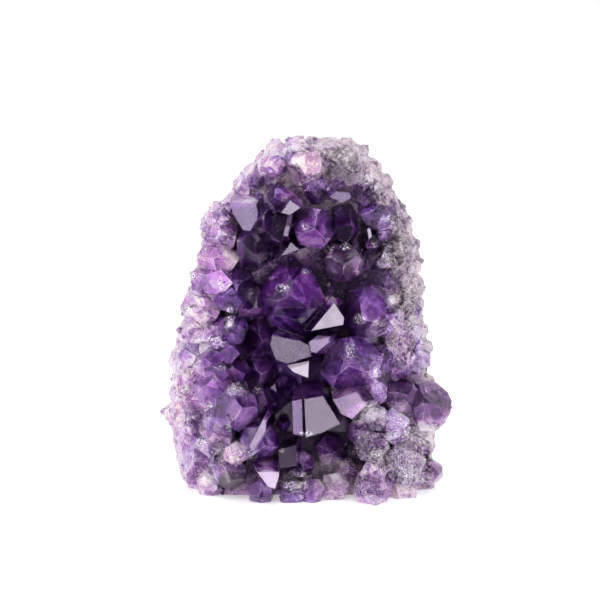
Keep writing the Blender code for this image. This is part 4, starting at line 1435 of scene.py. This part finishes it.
    def describe_facets(self, bm: bmesh.types.BMesh, crystals: list[GrownCrystal]) -> Facets:
        """Gives each facet a number and its own values.

        Args:
            bm: The crust, whose facet_number layer is filled.
            crystals: Its crystals.

        Returns:
            The values.
        """
        own = bm.faces.layers.int["crystal"]
        facet = bm.faces.layers.int["facet_number"]
        rng = random.Random(self.seed + 1)
        values = {name: [] for name in ("facet", "mirror", "prism", *PAINTED_HIGHLIGHT_NAMES)}
        fades = []
        for number, face in enumerate(bm.faces):
            face[facet] = number
            steepness = abs(face.normal.dot(crystals[face[own]].axis))
            shines = face.normal.dot(self.view.shine) > self.shine_limit
            painted_highlight = self.painted_highlight_at(face.calc_center_median()) if shines else PaintedHighlight(0.0, 0.0, 0.0)
            values["facet"].append(rng.random())
            values["mirror"].append(float(shines))
            values["prism"].append(float(steepness < self.prism_limit and not shines))
            for name in PAINTED_HIGHLIGHT_NAMES:
                values[name].append(getattr(painted_highlight, name))
            draw = Vector([rng.gauss(0.0, 1.0) for _ in range(3)]).normalized()
            slope = draw * (0.0 if shines else self.fading / max(math.sqrt(face.calc_area()), MM))
            fades.append((*slope, -slope.dot(face.calc_center_median()), *(face.normal.cross(draw) / MM)))
        return Facets({name: np.array(numbers) for name, numbers in values.items()}, np.array(fades))

    def painted_highlight_at(self, point: Vector) -> PaintedHighlight:
        """The painted highlight on the shining face nearest to a point."""
        across, up = (numbers[0] for numbers in self.view.spots(np.array([point])))
        return min(PAINTED_HIGHLIGHTS, key=lambda painted_highlight: math.hypot(painted_highlight.across - across, painted_highlight.up - up))

    def openness(self, bm: bmesh.types.BMesh) -> np.ndarray:
        """How much of the sky each vertex sees past the crystals round it; the gaps that see little get
        painted shade.

        Args:
            bm: The crust, refined.

        Returns:
            One value for each vertex, from 0 in a deep gap to 1 on open ground.
        """
        tree = BVHTree.FromBMesh(bm)
        open_share = np.ones(len(bm.verts))
        golden_angle = math.pi * (3.0 - math.sqrt(5.0))
        bundle = []
        for k in range(self.sky_rays):
            lean = math.sqrt((k + 0.5) / self.sky_rays)
            angle = golden_angle * k
            bundle.append((lean * math.cos(angle), lean * math.sin(angle), math.sqrt(1 - lean * lean)))
        for number, vert in enumerate(bm.verts):
            normal = vert.normal
            start = vert.co + normal * self.sky_lift
            first = normal.orthogonal().normalized()
            second = normal.cross(first)
            hits = 0
            for x, y, z in bundle:
                ray = first * x + second * y + normal * z
                hits += tree.ray_cast(start, ray, self.sky_reach)[0] is not None
            open_share[number] = 1.0 - hits / self.sky_rays
        return open_share

    def paint(
        self, mesh: bpy.types.Mesh, crystals: list[GrownCrystal], facets: Facets, sky: np.ndarray
    ) -> None:
        """Stores each crystal's character on its faces' corners.

        Args:
            mesh: The crust's mesh, which is changed.
            crystals: Its crystals.
            facets: The values of its facets.
            sky: How open each vertex is.
        """
        corners = corners_of(mesh)
        own, facet = (np.zeros(len(mesh.polygons), np.int32) for _ in range(2))
        for name, numbers in (("crystal", own), ("facet_number", facet)):
            mesh.attributes[name].data.foreach_get("value", numbers)
            mesh.attributes.remove(mesh.attributes[name])
        own, facet = own[corners.face], facet[corners.face]
        axes, low, high, tone, back = (
            np.array([getattr(crystal, name) for crystal in crystals], float)[own]
            for name in ("axis", "low", "high", "tone", "back")
        )
        along = (corners.places * axes).sum(axis=1)
        fades = facets.fades[facet]
        numbers = {name: column[facet] for name, column in facets.numbers.items()}
        numbers |= {"tone": tone, "back": back, "open": sky[corners.vert], "along": along / MM}
        numbers["rise"] = np.clip((along - low) / np.maximum(high - low, MM), 0, 1)
        numbers["fade"] = (corners.places * fades[:, :3]).sum(axis=1) + fades[:, 3]
        numbers["hatch"] = (corners.places * fades[:, 4:]).sum(axis=1)
        here = characters_at(self.view, corners.points)[corners.vert]
        whole = np.array([astuple(crystal.character) for crystal in crystals])[own]
        numbers |= dict(zip(CHARACTER_NAMES, (whole * (1 - self.drift) + here * self.drift).T))
        for name, column in numbers.items():
            store_numbers(mesh, name, column)
        place_glints(self.view, mesh, corners)


@dataclass
class SmallPoints:
    """Small quartz points and broken stumps over the pale parts of the crust and in its valleys."""

    view: View
    finish: PointFinish
    spacing: float = 1.7 * MM
    smallest: float = 0.45 * MM
    largest: float = 1.4 * MM
    density: float = 0.35
    rim_depth: float = -9 * MM
    keep_clear: float = 0.985
    foot: float = 0.05 * MM
    sides: int = 6
    upright: float = 0.6
    wander: float = 0.2
    forward: float = 0.5
    smallness: float = 1.8
    sunk: float = 1.5
    heights: tuple[float, float] = (0.1, 0.6)
    slopes: tuple[float, float] = (-0.5, 0.5)
    girths: tuple[float, float] = (0.85, 1.1)
    tips: tuple[float, float] = (0.9, 1.3)
    tip_shifts: tuple[float, float] = (-0.2, 0.2)
    broken: float = 0.25
    frost_broken: float = 0.6
    seed: int = 11
    verts: list[tuple[float, ...]] = field(default_factory=list)
    faces: list[tuple[int, ...]] = field(default_factory=list)
    values: list[tuple[float, ...]] = field(default_factory=list)

    def build(self, crust: AmethystCrust) -> bpy.types.Object:
        """Builds the points.

        Args:
            crust: The crust that they stand on.

        Returns:
            The points, as one piece.
        """
        rng = random.Random(self.seed)
        bm = solid_of(CRYSTALS_NODE)
        for crystal in crust.find_crystals(bm):
            if not crystal.back:
                for face in crystal.faces:
                    self.cover(face, crystal, rng)
        bm.free()
        mesh = bpy.data.meshes.new("small_points")
        mesh.from_pydata(self.verts, [], self.faces)
        totals = [len(face) for face in self.faces]
        table = np.repeat(np.array(self.values), totals, axis=0)
        for column, name in enumerate((*CHARACTER_NAMES, "tone", "facet")):
            store_numbers(mesh, name, table[:, column])
        mesh.materials.append(self.finish.make())
        points = linked_object("small_points", mesh)
        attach(points, "root")
        return points

    def cover(self, face: bmesh.types.BMFace, crystal: GrownCrystal, rng: random.Random) -> None:
        """Scatters points on one face.

        Args:
            face: The face.
            crystal: The crystal that it belongs to.
            rng: Where the scatter is drawn from.
        """
        if face.normal.dot(self.view.shine) > self.keep_clear:
            return
        corners = [vert.co for vert in face.verts]
        places = []
        for second, third in zip(corners[1:], corners[2:]):
            side_a, side_b = second - corners[0], third - corners[0]
            wanted = 0.5 * side_a.cross(side_b).length / self.spacing**2
            for _ in range(int(wanted + rng.random())):
                a, b = rng.random(), rng.random()
                if a + b > 1:
                    a, b = 1 - a, 1 - b
                places.append(corners[0] + side_a * a + side_b * b)
        if not places:
            return
        for place, values in zip(places, characters_at(self.view, np.array(places))):
            character = Character(*values)
            if rng.random() < character.crumb * self.density:
                self.grow(place, face.normal, crystal, character, rng)

    def grow(
        self,
        place: Vector,
        normal: Vector,
        crystal: GrownCrystal,
        character: Character,
        rng: random.Random,
    ) -> None:
        """Adds one point.

        Args:
            place: Where it stands.
            normal: The surface's direction there.
            crystal: The crystal that it stands on.
            character: What the quartz is like there.
            rng: Where its shape is drawn from.
        """
        draw = Vector([rng.gauss(0.0, self.wander) for _ in range(3)])
        axis = (normal * self.upright + crystal.axis * (1 - self.upright) + draw).normalized()
        if place.y > self.rim_depth:
            axis = (axis + Vector((0.0, -self.forward, 0.0))).normalized()
        radius = self.smallest + (self.largest - self.smallest) * rng.random() ** self.smallness
        height = radius * rng.uniform(*self.heights)
        broken = rng.random() < self.broken + self.frost_broken * character.frost
        first = axis.orthogonal().normalized()
        second = axis.cross(first)
        turn = rng.uniform(0.0, math.tau)
        slope = Vector((rng.uniform(*self.slopes), rng.uniform(*self.slopes)))
        start = len(self.verts)
        for lift in (-self.sunk * radius, height):
            for k in range(self.sides):
                angle = turn + math.tau * k / self.sides
                away = radius * rng.uniform(*self.girths)
                x, y = away * math.cos(angle), away * math.sin(angle)
                rise = lift + (x * slope.x + y * slope.y if lift > 0 else 0.0)
                self.add_vert(place + first * x + second * y + axis * rise)
        below = range(start, start + self.sides)
        ring = range(start + self.sides, start + 2 * self.sides)
        pairs = [(k, (k + 1) % self.sides) for k in range(self.sides)]
        new = [tuple(reversed(below))] + [(below[k], below[n], ring[n], ring[k]) for k, n in pairs]
        if broken:
            new.append(tuple(ring))
        else:
            tip = axis * (height + radius * rng.uniform(*self.tips))
            tip += first * radius * rng.uniform(*self.tip_shifts)
            self.add_vert(place + tip)
            new += [(ring[k], ring[n], len(self.verts) - 1) for k, n in pairs]
        tone = rng.random()
        self.faces += new
        self.values += [(*astuple(character), tone, rng.random()) for _ in new]

    def add_vert(self, point: Vector) -> None:
        """Adds a vertex, never below what the cluster stands on."""
        self.verts.append((point.x, point.y, max(point.z, self.foot)))


@dataclass
class RimMass:
    """The massive quartz that the outer crystals stand in: it fills the valleys between them."""

    view: View
    finish: AmethystFinish
    voxel: float = 0.7 * MM
    rounds: int = 14
    sunk: float = 1.6 * MM
    lift: float = 0.75 * MM
    least: float = 0.12
    cover: float = 2.2
    back_slope: float = 0.3
    least_rough: float = 0.35
    block: float = 3.4 * MM
    tilt: float = 0.45
    step: float = 0.8 * MM
    scatter: float = 1311.0
    hatch_way: tuple[float, float, float] = (0.5, 0.3, 0.8)
    frost: float = 0.4
    fading: float = 0.10
    foot: float = 0.05 * MM

    def build(self) -> bpy.types.Object:
        """Builds the mass.

        Returns:
            The mass, as one piece.
        """
        bm = self.softened()
        axes = {f"use_axis_{axis}": True for axis in "xyz"}
        for _ in range(self.rounds):
            bmesh.ops.smooth_vert(bm, verts=bm.verts, factor=0.5, **axes)
        bm.normal_update()
        bm.verts.ensure_lookup_table()
        places = np.array([vert.co for vert in bm.verts])
        characters = characters_at(self.view, places)
        share = np.clip(characters[:, CHARACTER_NAMES.index("crumb")] * self.cover, 0.0, 1.0)
        against_rock = np.array(
            [vert.normal.y > self.back_slope and vert.co.y > 0.0 for vert in bm.verts]
        )
        share[against_rock] = 0.0
        rough = self.least_rough + characters[:, CHARACTER_NAMES.index("frost")]
        for vert, weight, roughness in zip(bm.verts, share, rough):
            push = (self.lift + self.sunk) * weight - self.sunk
            vert.co += vert.normal * (push + weight * roughness * self.blocks(vert.co))
            vert.co.z = max(vert.co.z, self.foot)
        thin = [face for face in bm.faces if max(share[vert.index] for vert in face.verts) < self.least]
        bmesh.ops.delete(bm, geom=thin, context="FACES")
        mesh = bpy.data.meshes.new("rim_mass")
        bm.to_mesh(mesh)
        bm.free()
        self.paint(mesh)
        mesh.materials.append(self.finish.make())
        mass = linked_object("rim_mass", mesh)
        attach(mass, "root")
        return mass

    def softened(self) -> bmesh.types.BMesh:
        """The crust as an even mesh of small faces.

        Returns:
            A new bmesh.
        """
        whole = solid_of(CRYSTALS_NODE)
        mesh = bpy.data.meshes.new("whole")
        whole.to_mesh(mesh)
        whole.free()
        made = linked_object("whole", mesh)
        remesh = made.modifiers.new("even", "REMESH")
        remesh.mode = "VOXEL"
        remesh.voxel_size = self.voxel
        even = bpy.data.meshes.new_from_object(made.evaluated_get(bpy.context.evaluated_depsgraph_get()))
        bm = bmesh.new()
        bm.from_mesh(even)
        bpy.data.objects.remove(made)
        bpy.data.meshes.remove(mesh)
        bpy.data.meshes.remove(even)
        return bm

    def blocks(self, point: Vector) -> float:
        """How far the broken blocks stand out at a point.

        Args:
            point: The point.

        Returns:
            The distance, in metres.
        """
        centre = noise.voronoi(point / self.block)[1][0] * self.block
        draw = noise.noise_vector(centre * self.scatter + Vector((1.7, 4.3, 2.9)))
        return (point - centre).dot(draw) * 2.0 * self.tilt + draw.y * self.step

    def paint(self, mesh: bpy.types.Mesh) -> None:
        """Stores what the quartz is like at each corner.

        Args:
            mesh: The mass's mesh, which is changed.
        """
        corners = corners_of(mesh)
        here = dict(zip(CHARACTER_NAMES, characters_at(self.view, corners.points)[corners.vert].T))
        here["frost"] = np.maximum(here["frost"], self.frost)
        here["pale"] = here["pale"] + self.fading
        here |= {name: np.ones(len(corners.vert)) for name in ("rise", "open")}
        here |= {name: np.full(len(corners.vert), 0.5) for name in ("tone", "facet")}
        here["hatch"] = corners.places @ np.array(self.hatch_way) / MM
        for name, numbers in here.items():
            store_numbers(mesh, name, numbers)
        place_glints(self.view, mesh, corners)


@dataclass
class RockRind:
    """The rough rock that the crystals grew on."""

    finish: RockFinish
    grain: float = 1.6 * MM
    rounds: int = 6
    inner_slope: float = -0.3
    slope_fade: float = 0.5
    foot_fade: float = 2 * MM
    ridge_share: float = 0.7
    lump: float = 0.9 * MM
    lump_size: float = 6.0 * MM
    pit: float = 0.5 * MM
    pit_size: float = 2.2 * MM

    def build(self) -> bpy.types.Object:
        """Builds the rind.

        Returns:
            The rind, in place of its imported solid.
        """
        bm = solid_of(ROCK_NODE)
        refine(bm, lambda edge: self.grain, self.rounds)
        bm.normal_update()
        moves = [(vert, self.push(vert)) for vert in bm.verts]
        for vert, push in moves:
            vert.co += push
        mesh = bpy.data.meshes.new("rock_rind_surface")
        bm.to_mesh(mesh)
        bm.free()
        mesh.materials.append(self.finish.make())
        rind = linked_object("rock_rind_surface", mesh)
        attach(rind, "root")
        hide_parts(ROCK_NODE)
        return rind

    def push(self, vert: bmesh.types.BMVert) -> Vector:
        """How far the rock's surface moves at a point: not where it was sawn or meets the crystals.

        Args:
            vert: A point of the rind.

        Returns:
            The move.
        """
        outer = min(1.0, max(0.0, (vert.normal.y - self.inner_slope) / self.slope_fade))
        foot = min(1.0, vert.co.z / self.foot_fade)
        ridge = 1 - 2 * abs(noise.noise(vert.co / self.lump_size))
        pit = noise.noise(vert.co / self.pit_size)
        return vert.normal * outer * foot * (self.lump * (ridge - 1.0) * self.ridge_share + self.pit * pit)


@dataclass(frozen=True)
class Panel:
    """A soft panel light: where it hangs, its width and height in metres, and how bright its face is.

    A brightness of 1 is that of white paper.
    """

    name: str
    place: tuple[float, float, float]
    size: tuple[float, float]
    brightness: float


PANELS = (
    Panel("key", (0.0, -0.47, 0.88), (0.34, 0.34), 6.0),
    Panel("right", (0.75, -0.55, 0.45), (0.55, 0.80), 3.7),
    Panel("left", (-0.80, -0.45, 0.40), (0.60, 0.80), 3.8),
    Panel("top", (0.0, 0.25, 1.30), (1.20, 0.70), 1.6),
)


@dataclass
class Studio:
    """The pale floor, the soft light and the camera, in metres."""

    view: View
    floor: FloorFinish
    front: float = 2.0
    depth: float = 1.6
    height: float = 1.6
    turn: float = 0.5
    turn_steps: int = 12
    half_width: float = 8.0
    room_colour: Colour = (1.0, 0.995, 1.0)
    room_dim: float = 0.26
    room_bright: float = 1.10
    room_turn: tuple[float, float] = (-0.30, 0.45)
    clip_start: float = 0.01

    def build(self) -> None:
        """Builds the floor, lights and camera."""
        self.lay_floor()
        self.surround()
        for panel in PANELS:
            self.hang(panel)
        self.set_camera()

    def lay_floor(self) -> None:
        """A floor that rises behind into a backdrop."""
        profile = [Vector((0.0, -self.front, 0.0)), Vector((0.0, self.depth - self.turn, 0.0))]
        for k in range(1, self.turn_steps + 1):
            angle = math.pi / 2 * k / self.turn_steps
            along, up = math.sin(angle), 1 - math.cos(angle)
            profile.append(Vector((0.0, self.depth - self.turn + self.turn * along, self.turn * up)))
        profile.append(Vector((0.0, self.depth, self.height)))
        bm = bmesh.new()
        ends = [Vector((x, 0.0, 0.0)) for x in (-self.half_width, self.half_width)]
        rows = [[bm.verts.new(point + end) for point in profile] for end in ends]
        for k in range(len(profile) - 1):
            bm.faces.new((rows[0][k], rows[1][k], rows[1][k + 1], rows[0][k + 1]))
        mesh = bpy.data.meshes.new("floor")
        bm.to_mesh(mesh)
        bm.free()
        mesh.polygons.foreach_set("use_smooth", [True] * len(mesh.polygons))
        mesh.materials.append(self.floor.make())
        linked_object("floor", mesh)

    def surround(self) -> None:
        """Soft light from behind and above, and a dim room on the viewer's side."""
        s = Shader("studio", world=True)
        direction = s.node("ShaderNodeTexCoord").outputs["Generated"]
        behind = Socket(s, s.node("ShaderNodeSeparateXYZ", None, {0: direction}).outputs["Y"])
        strength = behind.step(*self.room_turn) * (self.room_bright - self.room_dim) + self.room_dim
        light = s.node("ShaderNodeBackground", None, {"Color": self.room_colour, "Strength": strength})
        bpy.context.scene.world = s.finish(light.outputs[0])

    def hang(self, panel: Panel) -> None:
        """Hangs a panel light that looks at the cluster.

        Args:
            panel: The panel.
        """
        light = bpy.data.lights.new(panel.name, "AREA")
        light.shape = "RECTANGLE"
        light.size, light.size_y = panel.size
        light.energy = panel.brightness * math.pi * panel.size[0] * panel.size[1]
        made = bpy.data.objects.new(panel.name, light)
        made.location = panel.place
        towards = self.view.centre - Vector(panel.place)
        made.rotation_euler = towards.to_track_quat("-Z", "Y").to_euler()
        bpy.context.scene.collection.objects.link(made)

    def set_camera(self) -> None:
        """Puts the camera where the photograph was taken from."""
        data = bpy.data.cameras.new("camera")
        data.sensor_width = self.view.sensor
        data.lens = self.view.sensor * self.view.distance / self.view.frame_width
        data.clip_start = self.clip_start
        camera = bpy.data.objects.new("camera", data)
        camera.location = self.view.centre + self.view.towards * self.view.distance
        camera.rotation_euler = (-self.view.towards).to_track_quat("-Z", "Y").to_euler()
        bpy.context.scene.collection.objects.link(camera)
        bpy.context.scene.camera = camera


def main() -> None:
    """Builds the cluster and the studio round it."""
    logging.basicConfig(level=logging.INFO, format="%(message)s")
    noise.seed_set(NOISE_SEED)
    view = View()
    bpy.context.scene.view_settings.view_transform = "Standard"
    bpy.context.scene.cycles.transmission_bounces = TRANSMISSION_BOUNCES
    bpy.context.scene.cycles.max_bounces = MOST_BOUNCES
    Studio(view, FloorFinish()).build()
    crust = AmethystCrust(view, AmethystFinish())
    pieces = (
        crust.build(),
        SmallPoints(view, PointFinish()).build(crust),
        RimMass(view, AmethystFinish("massive_quartz", see_through=False)).build(),
        RockRind(RockFinish()).build(),
    )
    for piece in pieces:
        LOG.info("%s: %d faces", piece.name, len(piece.data.polygons))


if __name__ == "__main__":
    main()
